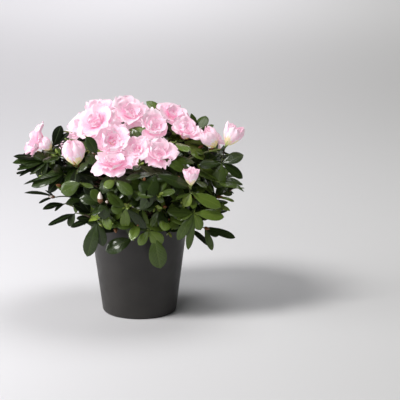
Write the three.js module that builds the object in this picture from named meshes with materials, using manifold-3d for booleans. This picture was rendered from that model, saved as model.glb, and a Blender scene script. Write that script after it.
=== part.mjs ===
// A potted azalea in bloom: a tapered pot filled with soil, a short leaning trunk, one bough for
// each mass of foliage, and masses of leafy twigs that carry double blooms and buds.
// Millimetres, +Z up, origin at the centre of the pot's flat underside. The front of the plant
// looks along -Y. Turns are degrees from the front towards +X, and lifts are degrees above level.
import * as THREE from "three";
import { mergeVertices } from "three/addons/utils/BufferGeometryUtils.js";
import Module from "manifold-3d";

const wasm = await Module();
wasm.setup();

// Pot
const POT_HEIGHT = 140;
const RIM_RADIUS = 70;
const FOOT_RADIUS = 52;
const FOOT_ROUNDING = 4;
const FOOT_STEPS = 3;
const WALL = 2.6;
const FLOOR = 3.6;
const POT_SEGMENTS = 36;

// Soil, heaped in a low dome under the trunk
const SOIL_TOP = 127;
const SOIL_DOME = 4;
const SOIL_DOME_RADIUS = 30;

// Every piece keeps this gap to its neighbour.
const GAP = 0.3;

// Trunk: from its flat cut on the soil to the fork
const TRUNK_HEIGHT = 44;
const TRUNK_RADIUS = 7.2;
const TRUNK_TIP_RADIUS = 4.6;
const ROOT_FLARE = 5.5;
const FLARE_FADE = 9;
const TRUNK_LEAN = new THREE.Vector3(-8, -3, 0);
const TRUNK_STEPS = 8;
const TRUNK_SIDES = 12;

// Boughs: one tapering limb from the trunk to each mass
const BOUGH_RADIUS = 2.5;
const BOUGH_STEPS = 3;
const BOUGH_SIDES = 6;
const BOUGH_ARCH = 0.12;

// Crown: an ellipsoid about the heart, on which the shoots end
const HEART = new THREE.Vector3(-14, 0, 185);
const CROWN_HALF_WIDTH = 138;
const CROWN_HALF_DEPTH = 114;
const CROWN_RISE = 92;
const CROWN_DROP = 68;

// Tiers of foliage masses: how many, where the first one lies, and how far up. A mass's hub, where
// its bough ends and its twigs start, has a lift of its own and lies at a share of the crown's
// reach. Fork is how far up the trunk the boughs leave it, and shoots is the most a mass can have.
const TIERS = [
  { name: "skirt", count: 7, turn: -25, lift: -34, hubLift: -14, hub: 0.52, fork: 0.5, shoots: 5 },
  { name: "shoulder", count: 7, turn: -98, lift: 8, hubLift: 9, hub: 0.45, fork: 0.7, shoots: 6 },
  { name: "upper", count: 5, turn: -38, lift: 48, hubLift: 46, hub: 0.42, fork: 0.88, shoots: 5 },
  { name: "top", count: 1, turn: 0, lift: 90, hubLift: 90, hub: 0.45, fork: 1, shoots: 3 },
];
const MASS_CENTRE_SHARE = 0.8;

// The boughs of a tier leave the trunk at a different height each, with no two neighbours alike.
const FORK_SPREAD = 0.14;
const FORK_STEP = 3;

const COMPASS = [
  "front", "front_right", "right", "back_right", "back", "back_left", "left", "front_left",
];

// Blooms and buds: the middle of each one, its size as a share of a full bloom, and the turn and
// lift it faces where it doesn't look straight out of the crown. The first sixteen sit on the front
// and the sides, and the others on the back.
const BLOOMS = [
  { kind: "bloom", at: [-140, -14, 247], size: 0.95, face: [-75, 22] },
  { kind: "bloom", at: [-78, 5, 262], size: 0.95, face: [-62, 42] },
  { kind: "bloom", at: [-52, 25, 281], size: 0.9, face: [-15, 64] },
  { kind: "bloom", at: [-55, -40, 277], size: 1.05, face: [-25, 42] },
  { kind: "bloom", at: [-11, 5, 283], size: 0.98, face: [12, 48] },
  { kind: "bloom", at: [-31, -72, 258], size: 1, face: [4, 30] },
  { kind: "bloom", at: [-30, -92, 237], size: 0.95, face: [-10, 66] },
  { kind: "bloom", at: [1, -80, 246], size: 0.7, face: [-20, 25] },
  { kind: "bloom", at: [22, -42, 271], size: 0.92, face: [22, 42] },
  { kind: "bloom", at: [31, -78, 241], size: 0.92, face: [8, 36] },
  { kind: "bloom", at: [49, 8, 281], size: 0.85, face: [35, 52] },
  { kind: "bloom", at: [66, -20, 261], size: 0.9, face: [25, 62] },
  { kind: "bud", at: [-81, -74, 243], size: 1.1, face: [-45, 74] },
  { kind: "bud", at: [101, -40, 253], size: 0.9, face: [-60, 58] },
  { kind: "bud", at: [128, -45, 258], size: 0.95, face: [75, 62] },
  { kind: "bud", at: [74, -95, 211], size: 0.72, face: [0, 78] },
  { kind: "bloom", at: [0, 62, 270], size: 1 },
  { kind: "bloom", at: [-64, 74, 250], size: 0.95 },
  { kind: "bloom", at: [56, 66, 252], size: 0.95 },
  { kind: "bloom", at: [-4, 104, 234], size: 0.9 },
  { kind: "bloom", at: [100, 34, 240], size: 0.85 },
  { kind: "bud", at: [-104, 70, 222], size: 0.95 },
  { kind: "bud", at: [48, 104, 222], size: 0.9 },
  { kind: "bud", at: [-60, 106, 208], size: 0.6 },
];

// Shoots: how they fan out, and how much room each one keeps
const SHOOT_TRIALS = 18;
const FAN = 34;
const GOLDEN_TURN = 137.508;
const LEAST_REACH = 0.93;
const SPREAD_OF_REACH = 0.13;
const SHOOT_CLEARANCE = 12;
const SHOOT_ROOM = 23;
const BLOOM_CLEARANCE = 14;
const BLOOM_ROOM = 30;
const RISE_OF_SHOOT = 0.3;
const TIP_POT_CLEARANCE = 16;

// Stem and twigs of a mass
const STEM_RADIUS = 2;
const STEM_LENGTH = 10;
const TWIG_RADIUS = 1.5;
const TWIG_TIP_RADIUS = 1;
const TWIG_STEPS = 2;
const TWIG_ARCH = 0.2;
const TWIG_CLEARANCE = 3;

// A shoot's whorl of leaves, which grow out of the sides of a small bead
const LEAVES = 5;
const BEAD_RADIUS = 1.9;
const BEAD_LENGTH = 3;
const LEAF_LENGTH = 42;
const LEAF_WIDTH = 21;
const LEAF_THICKNESS = 1.1;
const LEAF_SHOULDER = 0.62;
const LEAF_CREST = 0.42;
const LEAF_DROOP = 0.14;
const LEAF_FOLD = 1.6;
const LEAF_PITCH = 64;
const PITCH_SPREAD = 22;
const PITCH_UNDER_BLOOM = 14;
const LEAST_PITCH = 44;
const LEAST_LEAF = 0.88;
const SPREAD_OF_LEAF = 0.24;
const SPIN_SPREAD = 0.24;
const LEAF_TRIES = [
  { size: 1, pitch: 0 },
  { size: 0.86, pitch: -12 },
  { size: 0.7, pitch: -24 },
];
const POT_CLEARANCE = 2;

// A double bloom as one closed form: rings from the stalk out under the outer petals, over their
// tips, up the inner petals and down into the throat, as shares of the bloom's radius. Tips and
// notches between petals alternate, and the inner petals stand over the outer ones' notches.
const BLOOM_RADIUS = 27;
const PETALS = 5;
const BLOOM_RINGS = [
  { tip: 0.08, notch: 0.08, tipRise: -0.62, notchRise: -0.62 },
  { tip: 0.66, notch: 0.54, tipRise: -0.18, notchRise: -0.24 },
  { tip: 1.06, notch: 0.82, tipRise: 0.16, notchRise: 0.04 },
  { tip: 0.66, notch: 0.6, tipRise: 0.22, notchRise: 0.28 },
  { tip: 0.44, notch: 0.64, tipRise: 0.5, notchRise: 0.56 },
];
const THROAT_RISE = 0.3;

// A plump bud: a spindle that is widest past its middle
const BUD_LENGTH = 36;
const BUD_RADIUS = 14;
const BUD_SIDES = 6;
const BUD_RINGS = [
  { share: 0, swell: 0.14 },
  { share: 0.3, swell: 0.84 },
  { share: 0.62, swell: 1 },
  { share: 0.9, swell: 0.5 },
  { share: 1, swell: 0.12 },
];

// How far a bloom's or bud's foot is sunk into the bead under it
const FOOT_SINK = 1;

const COLOURS = {
  pot: { color: 0x3a3938, roughness: 0.45 },
  soil: { color: 0x2a1d15, roughness: 0.95 },
  bark: { color: 0x5b4433, roughness: 0.85 },
  foliage: { color: 0x2c4a22, roughness: 0.45 },
};

const UP = new THREE.Vector3(0, 0, 1);
const radians = THREE.MathUtils.degToRad;

// Seeded random numbers from 0 to 1
function stream(seed) {
  let state = (seed * 7919 + 104729) >>> 0;
  const draw = () => {
    state = (Math.imul(state, 1664525) + 1013904223) >>> 0;
    return state / 4294967296;
  };
  for (let i = 0; i < 4; i += 1) draw();
  return draw;
}

// Unit vector for a turn and a lift
function aim(turn, lift) {
  const t = radians(turn);
  const l = radians(lift);
  return new THREE.Vector3(
    Math.cos(l) * Math.sin(t),
    -Math.cos(l) * Math.cos(t),
    Math.sin(l),
  );
}

// Two unit vectors square to a direction
function frameAbout(direction) {
  const helper = Math.abs(direction.z) > 0.95 ? new THREE.Vector3(0, 1, 0) : UP;
  const side = new THREE.Vector3().crossVectors(direction, helper).normalize();
  const over = new THREE.Vector3().crossVectors(side, direction).normalize();
  return { side, over };
}

// A unit vector square to a direction, on the bearing that spin gives
function bearing(direction, spin) {
  const { side, over } = frameAbout(direction);
  return side.multiplyScalar(Math.cos(spin)).addScaledVector(over, Math.sin(spin));
}

// A direction tilted off another by an angle, on the bearing that spin gives
function tilted(direction, angle, spin) {
  return direction
    .clone()
    .multiplyScalar(Math.cos(angle))
    .addScaledVector(bearing(direction, spin), Math.sin(angle));
}

// How far the crown reaches from its heart in a direction
function crownReach(direction) {
  const height = direction.z > 0 ? CROWN_RISE : CROWN_DROP;
  return 1 / Math.hypot(
    direction.x / CROWN_HALF_WIDTH,
    direction.y / CROWN_HALF_DEPTH,
    direction.z / height,
  );
}

// Closed geometry as a solid that can be joined and cut
function solid(geometry) {
  const bare = new THREE.BufferGeometry();
  bare.setAttribute("position", geometry.getAttribute("position"));
  if (geometry.index) bare.setIndex(geometry.index);
  const merged = mergeVertices(bare, 1e-4);
  return new wasm.Manifold(
    new wasm.Mesh({
      numProp: 3,
      vertProperties: new Float32Array(merged.getAttribute("position").array),
      triVerts: new Uint32Array(merged.index.array),
    }),
  );
}

// A solid as geometry for a mesh
function geometryOf(made) {
  const mesh = made.getMesh();
  const geometry = new THREE.BufferGeometry();
  geometry.setAttribute("position", new THREE.BufferAttribute(mesh.vertProperties, 3));
  geometry.setIndex(new THREE.BufferAttribute(mesh.triVerts, 1));
  geometry.computeVertexNormals();
  return geometry;
}

function geometryFrom(points, faces) {
  const numbers = points.flatMap((p) => p.toArray());
  const geometry = new THREE.BufferGeometry();
  geometry.setAttribute("position", new THREE.Float32BufferAttribute(numbers, 3));
  geometry.setIndex(faces.flat());
  return geometry;
}

// A closed solid of points and faces, turned so that its faces point out
function outwardSolid(points, faces) {
  const made = solid(geometryFrom(points, faces));
  if (made.volume() > 0) return made;
  return solid(geometryFrom(points, faces.map((face) => [...face].reverse())));
}

// A limb of round section through points, with a radius at each
function limb(points, radii, sides) {
  const rings = [];
  const faces = [];
  const last = points.length - 1;
  let { side } = frameAbout(points[1].clone().sub(points[0]).normalize());
  points.forEach((point, i) => {
    const before = points[Math.max(i - 1, 0)];
    const along = points[Math.min(i + 1, last)].clone().sub(before).normalize();
    side = side.clone().addScaledVector(along, -side.dot(along)).normalize();
    const over = new THREE.Vector3().crossVectors(along, side);
    for (let k = 0; k < sides; k += 1) {
      const a = (2 * Math.PI * k) / sides;
      rings.push(
        point
          .clone()
          .addScaledVector(side, radii[i] * Math.cos(a))
          .addScaledVector(over, radii[i] * Math.sin(a)),
      );
    }
  });
  for (let i = 0; i < last; i += 1) {
    for (let k = 0; k < sides; k += 1) {
      const next = (k + 1) % sides;
      const [a, b] = [i * sides + k, i * sides + next];
      const [c, d] = [a + sides, b + sides];
      faces.push([a, b, d], [a, d, c]);
    }
  }
  for (let k = 1; k < sides - 1; k += 1) {
    faces.push([0, k + 1, k]);
    faces.push([last * sides, last * sides + k, last * sides + k + 1]);
  }
  return solid(geometryFrom(rings, faces));
}

// Points along a bow from one place to another, by way of a control point
function bow(from, by, to, steps) {
  return new THREE.QuadraticBezierCurve3(from, by, to).getPoints(steps);
}

// The middle of the way from one place to another, lifted by a share of the way's length
function arched(from, to, share) {
  const middle = from.clone().add(to).multiplyScalar(0.5);
  return middle.addScaledVector(UP, from.distanceTo(to) * share);
}

function tapered(from, to, steps) {
  return Array.from({ length: steps + 1 }, (_, i) => from + ((to - from) * i) / steps);
}

function joined(pieces) {
  return pieces.reduce((whole, piece) => whole.add(piece));
}

// The tiers' masses as one list, each with its direction, centre, hub, name and seed
function layOutMasses() {
  const list = [];
  TIERS.forEach((tier) => {
    for (let i = 0; i < tier.count; i += 1) {
      const turn = tier.turn + (360 * i) / tier.count;
      const direction = aim(turn, tier.lift);
      const inwards = aim(turn, tier.hubLift);
      const eighth = ((Math.round(turn / 45) % 8) + 8) % 8;
      list.push({
        name: tier.count > 1 ? `${tier.name}_${COMPASS[eighth]}` : tier.name,
        tier,
        turn,
        direction,
        seed: list.length + 1,
        centre: HEART.clone().addScaledVector(direction, crownReach(direction) * MASS_CENTRE_SHARE),
        hub: HEART.clone().addScaledVector(inwards, crownReach(inwards) * tier.hub),
        fork: tier.fork - FORK_SPREAD * (((FORK_STEP * i) % tier.count) / tier.count),
        blooms: [],
      });
    }
  });
  return list;
}

const masses = layOutMasses();

// The borders of a mass's own space: planes half way to each other mass, square to the way there
function bordersOf(mass) {
  return masses
    .filter((other) => other !== mass)
    .map((other) => {
      const across = other.centre.clone().sub(mass.centre).normalize();
      const middle = other.centre.clone().add(mass.centre).multiplyScalar(0.5);
      return { across, middle };
    });
}

masses.forEach((mass) => {
  mass.borders = bordersOf(mass);
});

// How deep a point lies inside a mass's own space
function depthInside(mass, point) {
  const depths = mass.borders.map(({ across, middle }) => middle.clone().sub(point).dot(across));
  return Math.min(...depths);
}

// A point moved in from the borders of a mass's space until it has the clearance asked for
function pulledInside(mass, point, clearance) {
  const moved = point.clone();
  for (let pass = 0; pass < 3; pass += 1) {
    mass.borders.forEach(({ across, middle }) => {
      const short = clearance - middle.clone().sub(moved).dot(across);
      if (short > 0) moved.addScaledVector(across, -short);
    });
  }
  return moved;
}

// A point moved out sideways until it is clear of the pot
function outsidePot(point) {
  const out = Math.hypot(point.x, point.y);
  const least = RIM_RADIUS + TIP_POT_CLEARANCE;
  if (point.z > POT_HEIGHT + TIP_POT_CLEARANCE || out > least) return point;
  return new THREE.Vector3((point.x * least) / out, (point.y * least) / out, point.z);
}

// The way a shoot faces: out from the heart, turned up a little
function facing(point) {
  return point.clone().sub(HEART).normalize().addScaledVector(UP, RISE_OF_SHOOT).normalize();
}

// How far a bloom's or bud's middle stands from the tip of its twig
function stalkOf(bloom) {
  if (bloom.kind === "bud") return BUD_LENGTH * bloom.size * 0.5 - FOOT_SINK;
  return -BLOOM_RADIUS * bloom.size * BLOOM_RINGS[0].tipRise - FOOT_SINK;
}

// Each bloom goes to the mass in whose space its foot lies.
function dealOutBlooms() {
  BLOOMS.forEach((bloom) => {
    const middle = new THREE.Vector3(...bloom.at);
    const axis = bloom.face ? aim(...bloom.face) : facing(middle);
    const tip = middle.clone().addScaledVector(axis, -stalkOf(bloom));
    const distances = masses.map((mass) => mass.centre.distanceTo(tip));
    const mass = masses[distances.indexOf(Math.min(...distances))];
    mass.blooms.push({ ...bloom, axis, tip: pulledInside(mass, tip, BLOOM_CLEARANCE) });
  });
}

// The shoots of a mass: one under each bloom, and a fan of leafy ones where there is room
function shootsOf(mass) {
  const draw = stream(mass.seed);
  const shoots = mass.blooms.map((bloom) => ({ tip: bloom.tip, axis: bloom.axis, bloom }));
  for (let k = 0; k < SHOOT_TRIALS && shoots.length < mass.tier.shoots; k += 1) {
    const off = radians(FAN) * Math.sqrt((k + 0.5) / SHOOT_TRIALS);
    const direction = tilted(mass.direction, off, radians(GOLDEN_TURN * k + mass.turn));
    const reach = crownReach(direction) * (LEAST_REACH + SPREAD_OF_REACH * draw());
    const wanted = HEART.clone().addScaledVector(direction, reach);
    const tip = outsidePot(pulledInside(mass, wanted, SHOOT_CLEARANCE));
    const roomy = shoots.every(
      (other) => other.tip.distanceTo(tip) > (other.bloom ? BLOOM_ROOM : SHOOT_ROOM),
    );
    if (roomy) shoots.push({ tip, axis: facing(tip) });
  }
  return shoots;
}

// The trunk's middle line at a share of its height
function trunkPoint(share) {
  const foot = new THREE.Vector3(0, 0, SOIL_TOP + SOIL_DOME + GAP);
  return foot.addScaledVector(UP, TRUNK_HEIGHT * share).addScaledVector(TRUNK_LEAN, share * share);
}

function trunkRadius(share) {
  const flare = ROOT_FLARE * Math.exp(-share * FLARE_FADE);
  return TRUNK_RADIUS + (TRUNK_TIP_RADIUS - TRUNK_RADIUS) * share + flare;
}

// The trunk, or the same form grown all round by a margin to cut with
function trunkSolid(margin) {
  const shares = tapered(0, 1, TRUNK_STEPS);
  const points = shares.map(trunkPoint);
  // The foot is cut flat, so its first two rings lie square over each other.
  points[1].setX(points[0].x).setY(points[0].y);
  points[TRUNK_STEPS].addScaledVector(UP, margin);
  return limb(points, shares.map((share) => trunkRadius(share) + margin), TRUNK_SIDES);
}

// A mass's bough, from inside the trunk to the mass's hub, grown by a margin
function boughSolid(mass, margin) {
  const radii = tapered(BOUGH_RADIUS, STEM_RADIUS, BOUGH_STEPS).map((radius) => radius + margin);
  return limb(mass.boughLine, radii, BOUGH_SIDES);
}

// The corners of a leaf past its root: left and right shoulder, tip, and upper and lower crest
function leafPoints({ root, along, across, face }, length, width) {
  const at = (u, v, w) =>
    root
      .clone()
      .addScaledVector(along, u * length)
      .addScaledVector(across, v * width)
      .addScaledVector(face, w - LEAF_DROOP * length * u * u);
  return {
    left: at(LEAF_SHOULDER, -0.5, LEAF_FOLD),
    right: at(LEAF_SHOULDER, 0.5, LEAF_FOLD),
    tip: at(1, 0, 0),
    upper: at(LEAF_CREST, 0, LEAF_THICKNESS / 2),
    lower: at(LEAF_CREST, 0, -LEAF_THICKNESS / 2),
  };
}

// The same leaf as a closed blade that runs to a point at its root, to try for room with
function trialBlade(root, { left, right, tip, upper, lower }) {
  const points = [root, left, right, tip, upper, lower];
  const faces = [
    [0, 4, 1], [1, 4, 3], [3, 4, 2], [2, 4, 0],
    [0, 1, 5], [1, 3, 5], [3, 2, 5], [2, 0, 5],
  ];
  return outwardSolid(points, faces);
}

// A shoot as one closed form: a twig that ends in a small bead, with a leaf drawn out of each of the
// bead's sides. A leaf is tried at full size and then smaller and steeper, and where none of these
// keeps to the mass's space and clear of what is taken, the side stays bare.
function shootSolid(mass, shoot, index, way, taken) {
  const { tip, axis } = shoot;
  const draw = stream(mass.seed * 100 + index);
  const start = draw() * 2 * Math.PI;
  const radii = tapered(TWIG_RADIUS, TWIG_TIP_RADIUS, TWIG_STEPS);
  const rings = way.slice(0, -1).map((at, i) => {
    return { at, square: way[i + 1].clone().sub(at).normalize(), radius: radii[i] };
  });
  rings.push({ at: way[TWIG_STEPS], square: axis, radius: BEAD_RADIUS });
  rings.push({ at: tip, square: axis, radius: BEAD_RADIUS });
  const points = rings.flatMap(({ at, square, radius }) =>
    Array.from({ length: LEAVES }, (_, k) => {
      const out = bearing(axis, start + (2 * Math.PI * (k - 0.5)) / LEAVES);
      const level = out.addScaledVector(square, -out.dot(square)).normalize();
      return at.clone().addScaledVector(level, radius);
    }),
  );
  const faces = [];
  const [low, top] = [TWIG_STEPS * LEAVES, (TWIG_STEPS + 1) * LEAVES];
  for (let k = 1; k < LEAVES - 1; k += 1) {
    faces.push([0, k + 1, k], [top, top + k, top + k + 1]);
  }
  for (let k = 0; k < LEAVES; k += 1) {
    const next = (k + 1) % LEAVES;
    for (let i = 0; i < low; i += LEAVES) {
      faces.push([i + k, i + next, i + next + LEAVES], [i + k, i + next + LEAVES, i + k + LEAVES]);
    }
    const [a, b, c, d] = [low + k, low + next, top + next, top + k];
    const spin = start + (2 * Math.PI * k) / LEAVES;
    const turned = spin + SPIN_SPREAD * (draw() - 0.5);
    const under = shoot.bloom ? PITCH_UNDER_BLOOM : 0;
    const pitch = LEAF_PITCH + PITCH_SPREAD * (draw() - 0.5) + under;
    const size = LEAST_LEAF + SPREAD_OF_LEAF * draw();
    const root = tip
      .clone()
      .addScaledVector(axis, -BEAD_LENGTH / 2)
      .addScaledVector(bearing(axis, spin), BEAD_RADIUS * Math.cos(Math.PI / LEAVES));
    const leaf = LEAF_TRIES.map((attempt) => {
      const along = tilted(axis, radians(Math.max(pitch + attempt.pitch, LEAST_PITCH)), turned);
      const across = bearing(axis, turned + Math.PI / 2);
      const face = axis.clone().addScaledVector(along, -axis.dot(along)).normalize();
      const share = size * attempt.size;
      return leafPoints({ root, along, across, face }, LEAF_LENGTH * share, LEAF_WIDTH * share);
    }).find(
      (corners) =>
        Object.values(corners).every((corner) => depthInside(mass, corner) > GAP) &&
        trialBlade(root, corners).intersect(taken).isEmpty(),
    );
    if (leaf) {
      const first = points.push(leaf.left, leaf.right, leaf.tip, leaf.upper, leaf.lower) - 5;
      const [left, right, end, upper, lower] = [0, 1, 2, 3, 4].map((i) => first + i);
      faces.push([a, b, lower], [b, c, right], [c, d, upper], [d, a, left]);
      faces.push([lower, b, right], [right, c, upper], [upper, d, left], [left, a, lower]);
      faces.push([lower, right, end], [left, lower, end], [upper, left, end], [right, upper, end]);
    } else {
      faces.push([a, b, c], [a, c, d]);
    }
  }
  return outwardSolid(points, faces);
}

// A double bloom on its stalk, ringed by BLOOM_RINGS
function bloomSolid({ tip, axis, size }) {
  const radius = BLOOM_RADIUS * size;
  const sides = 2 * PETALS;
  const foot = tip.clone().addScaledVector(axis, -FOOT_SINK);
  const middle = foot.addScaledVector(axis, -radius * BLOOM_RINGS[0].tipRise);
  const at = (spin, out, rise) =>
    middle
      .clone()
      .addScaledVector(bearing(axis, spin), radius * out)
      .addScaledVector(axis, radius * rise);
  const points = BLOOM_RINGS.flatMap((ring) =>
    Array.from({ length: sides }, (_, k) => {
      const spin = (2 * Math.PI * k) / sides;
      return k % 2 === 0 ? at(spin, ring.tip, ring.tipRise) : at(spin, ring.notch, ring.notchRise);
    }),
  );
  const last = (BLOOM_RINGS.length - 1) * sides;
  const bottom = points.push(at(0, 0, BLOOM_RINGS[0].tipRise)) - 1;
  const throat = points.push(at(0, 0, THROAT_RISE)) - 1;
  const faces = [];
  for (let k = 0; k < sides; k += 1) {
    const next = (k + 1) % sides;
    faces.push([bottom, next, k], [throat, last + k, last + next]);
    for (let i = 0; i < last; i += sides) {
      const [a, b] = [i + k, i + next];
      faces.push([a, b, b + sides], [a, b + sides, a + sides]);
    }
  }
  return outwardSolid(points, faces);
}

function budSolid({ tip, axis, size }) {
  const foot = tip.clone().addScaledVector(axis, -FOOT_SINK);
  return limb(
    BUD_RINGS.map(({ share }) => foot.clone().addScaledVector(axis, BUD_LENGTH * size * share)),
    BUD_RINGS.map(({ swell }) => BUD_RADIUS * size * swell),
    BUD_SIDES,
  );
}

// Half of space beyond a border, as a block large enough to cut any bloom with
function beyond({ across, middle }) {
  const size = 2 * (CROWN_HALF_WIDTH + CROWN_HALF_DEPTH);
  const block = new THREE.BoxGeometry(size, size, size);
  block.applyQuaternion(new THREE.Quaternion().setFromUnitVectors(UP, across));
  block.translate(...middle.clone().addScaledVector(across, (size - GAP) / 2).toArray());
  return solid(block);
}

// A bloom or bud, cut off where it would leave its mass's space
function trimmedBloom(mass, bloom) {
  const whole = bloom.kind === "bloom" ? bloomSolid(bloom) : budSolid(bloom);
  const reach = 2 * BLOOM_RADIUS * bloom.size;
  return mass.borders
    .filter(({ across, middle }) => middle.clone().sub(bloom.tip).dot(across) < reach)
    .reduce((kept, border) => kept.subtract(beyond(border)), whole);
}

// A mass of foliage: the stem that meets its bough, the twigs, and what grows on them. A twig that
// would touch a limb is left out with all it carries.
function massSolid(mass, limbs) {
  const along = mass.boughEnd;
  const start = mass.hub.clone().addScaledVector(along, GAP);
  const end = start.clone().addScaledVector(along, STEM_LENGTH);
  const stem = limb([start, end], [STEM_RADIUS, STEM_RADIUS], BOUGH_SIDES);
  const blooms = mass.blooms.map((bloom) => trimmedBloom(mass, bloom));
  let taken = joined([limbs, ...blooms]);
  const shoots = shootsOf(mass);
  const grown = shoots.flatMap((shoot, i) => {
    const root = start.clone().lerp(end, (i + 1) / (shoots.length + 1));
    const by = pulledInside(mass, arched(root, shoot.tip, TWIG_ARCH), TWIG_CLEARANCE);
    const into = shoot.tip.clone().addScaledVector(shoot.axis, -BEAD_LENGTH);
    const whole = shootSolid(mass, shoot, i, bow(root, by, into, TWIG_STEPS), taken);
    if (!whole.intersect(limbs).isEmpty()) return [];
    taken = taken.add(whole);
    return shoot.bloom ? [whole, blooms[i]] : [whole];
  });
  // A scrap that a border cuts loose is dropped: the largest body is the mass.
  const bodies = joined([stem, ...grown]).decompose();
  return bodies.reduce((best, body) => (body.volume() > best.volume() ? body : best));
}

// How far out the pot's wall is at a height
function wallRadius(height) {
  return FOOT_RADIUS + ((RIM_RADIUS - FOOT_RADIUS) * height) / POT_HEIGHT;
}

function turnedProfile(pairs) {
  const profile = pairs.map(([out, height]) => new THREE.Vector2(out, height));
  return new THREE.LatheGeometry(profile, POT_SEGMENTS).rotateX(Math.PI / 2);
}

// The pot: a tapered wall with a rounded foot, a thin rim and a flat floor
function potGeometry() {
  const rounding = Array.from({ length: FOOT_STEPS + 1 }, (_, i) => {
    const a = (Math.PI / 2) * (i / FOOT_STEPS);
    return [
      wallRadius(FOOT_ROUNDING) - FOOT_ROUNDING * (1 - Math.sin(a)),
      FOOT_ROUNDING * (1 - Math.cos(a)),
    ];
  });
  return turnedProfile([
    [0, 0],
    ...rounding,
    [RIM_RADIUS, POT_HEIGHT],
    [RIM_RADIUS - WALL, POT_HEIGHT],
    [wallRadius(FLOOR) - WALL, FLOOR],
    [0, FLOOR],
  ]);
}

// Soil that fills the pot to just under its rim
function soilGeometry() {
  const inset = WALL + GAP;
  return turnedProfile([
    [0, FLOOR + GAP],
    [wallRadius(FLOOR + GAP) - inset, FLOOR + GAP],
    [wallRadius(SOIL_TOP) - inset, SOIL_TOP],
    [SOIL_DOME_RADIUS, SOIL_TOP + SOIL_DOME],
    [0, SOIL_TOP + SOIL_DOME],
  ]);
}

// The space that the pot and its soil fill, with the clearance that foliage keeps
function potSpace() {
  return turnedProfile([
    [0, 0],
    [FOOT_RADIUS + POT_CLEARANCE, 0],
    [RIM_RADIUS + POT_CLEARANCE, POT_HEIGHT],
    [RIM_RADIUS + POT_CLEARANCE, POT_HEIGHT + POT_CLEARANCE],
    [0, POT_HEIGHT + POT_CLEARANCE],
  ]);
}

function named(name, geometry, look) {
  const mesh = new THREE.Mesh(geometry, new THREE.MeshStandardMaterial({ metalness: 0, ...look }));
  mesh.name = name;
  return mesh;
}

masses.forEach((mass) => {
  const root = trunkPoint(mass.fork);
  mass.boughLine = bow(root, arched(root, mass.hub, BOUGH_ARCH), mass.hub, BOUGH_STEPS);
  mass.boughEnd = mass.hub.clone().sub(mass.boughLine[BOUGH_STEPS - 1]).normalize();
});
dealOutBlooms();

const azalea = new THREE.Group();
azalea.add(named("pot", potGeometry(), COLOURS.pot));
azalea.add(named("soil", soilGeometry(), COLOURS.soil));
azalea.add(named("trunk", geometryOf(trunkSolid(0)), COLOURS.bark));

const grownTrunk = trunkSolid(GAP);
const limbs = joined([
  solid(potSpace()),
  grownTrunk,
  ...masses.map((mass) => boughSolid(mass, GAP)),
]);
let before = grownTrunk;
masses.forEach((mass) => {
  // Where boughs leave the trunk close together, each is cut clear of those before it.
  const bough = boughSolid(mass, 0).subtract(before);
  before = before.add(boughSolid(mass, GAP));
  azalea.add(named(`${mass.name}_bough`, geometryOf(bough), COLOURS.bark));
  azalea.add(named(`${mass.name}_foliage`, geometryOf(massSolid(mass, limbs)), COLOURS.foliage));
});

export default azalea;
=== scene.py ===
# A potted azalea in bloom: a satin pot of crumbly soil, a barked trunk and boughs, leafy twigs with
# glossy whorled leaves, and ruffled double blooms and buds in pale pink.
# Metres, +Z up, origin at the centre of the pot's flat underside. The front of the plant looks
# along -Y. Turns are degrees from the front towards +X, and lifts are degrees above level.
import math
from collections import Counter
from types import SimpleNamespace

import bpy
import numpy as np
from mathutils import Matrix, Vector, noise


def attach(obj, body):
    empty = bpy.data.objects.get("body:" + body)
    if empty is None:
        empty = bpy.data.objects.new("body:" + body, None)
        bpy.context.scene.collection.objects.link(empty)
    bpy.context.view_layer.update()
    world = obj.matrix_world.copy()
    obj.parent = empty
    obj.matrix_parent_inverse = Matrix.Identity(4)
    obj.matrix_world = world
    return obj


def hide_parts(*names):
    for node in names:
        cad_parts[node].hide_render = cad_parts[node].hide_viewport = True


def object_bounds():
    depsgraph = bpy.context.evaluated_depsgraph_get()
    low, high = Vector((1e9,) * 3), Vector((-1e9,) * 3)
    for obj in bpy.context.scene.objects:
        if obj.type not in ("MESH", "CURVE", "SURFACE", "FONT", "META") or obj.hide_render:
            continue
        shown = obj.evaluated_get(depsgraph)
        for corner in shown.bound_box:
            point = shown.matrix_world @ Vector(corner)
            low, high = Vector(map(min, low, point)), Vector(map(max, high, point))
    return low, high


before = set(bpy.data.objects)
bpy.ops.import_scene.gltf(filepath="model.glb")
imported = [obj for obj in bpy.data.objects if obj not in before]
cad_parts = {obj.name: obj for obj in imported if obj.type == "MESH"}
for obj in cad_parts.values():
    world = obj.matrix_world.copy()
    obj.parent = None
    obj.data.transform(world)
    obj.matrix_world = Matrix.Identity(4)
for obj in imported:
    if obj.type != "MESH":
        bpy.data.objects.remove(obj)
cad_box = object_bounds()
cad_low, cad_high = (np.array(corner) for corner in cad_box)

MM = 0.001
TURN = 2 * math.pi
UP = np.array([0.0, 0.0, 1.0])
NEARLY_UPRIGHT = 0.95

# Pot
POT_HEIGHT = 140 * MM
RIM_RADIUS = 70 * MM
FOOT_RADIUS = 52 * MM
FOOT_ROUNDING = 4 * MM
WALL = 2.6 * MM
FLOOR = 3.6 * MM
RIM_ROUNDING = 1.1 * MM
RIM_START = POT_HEIGHT - 3 * RIM_ROUNDING
POT_SEGMENTS = 144
ARC_STEPS = 6
OUTSIDE_STEPS = 12
INSIDE_STEPS = 6

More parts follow.
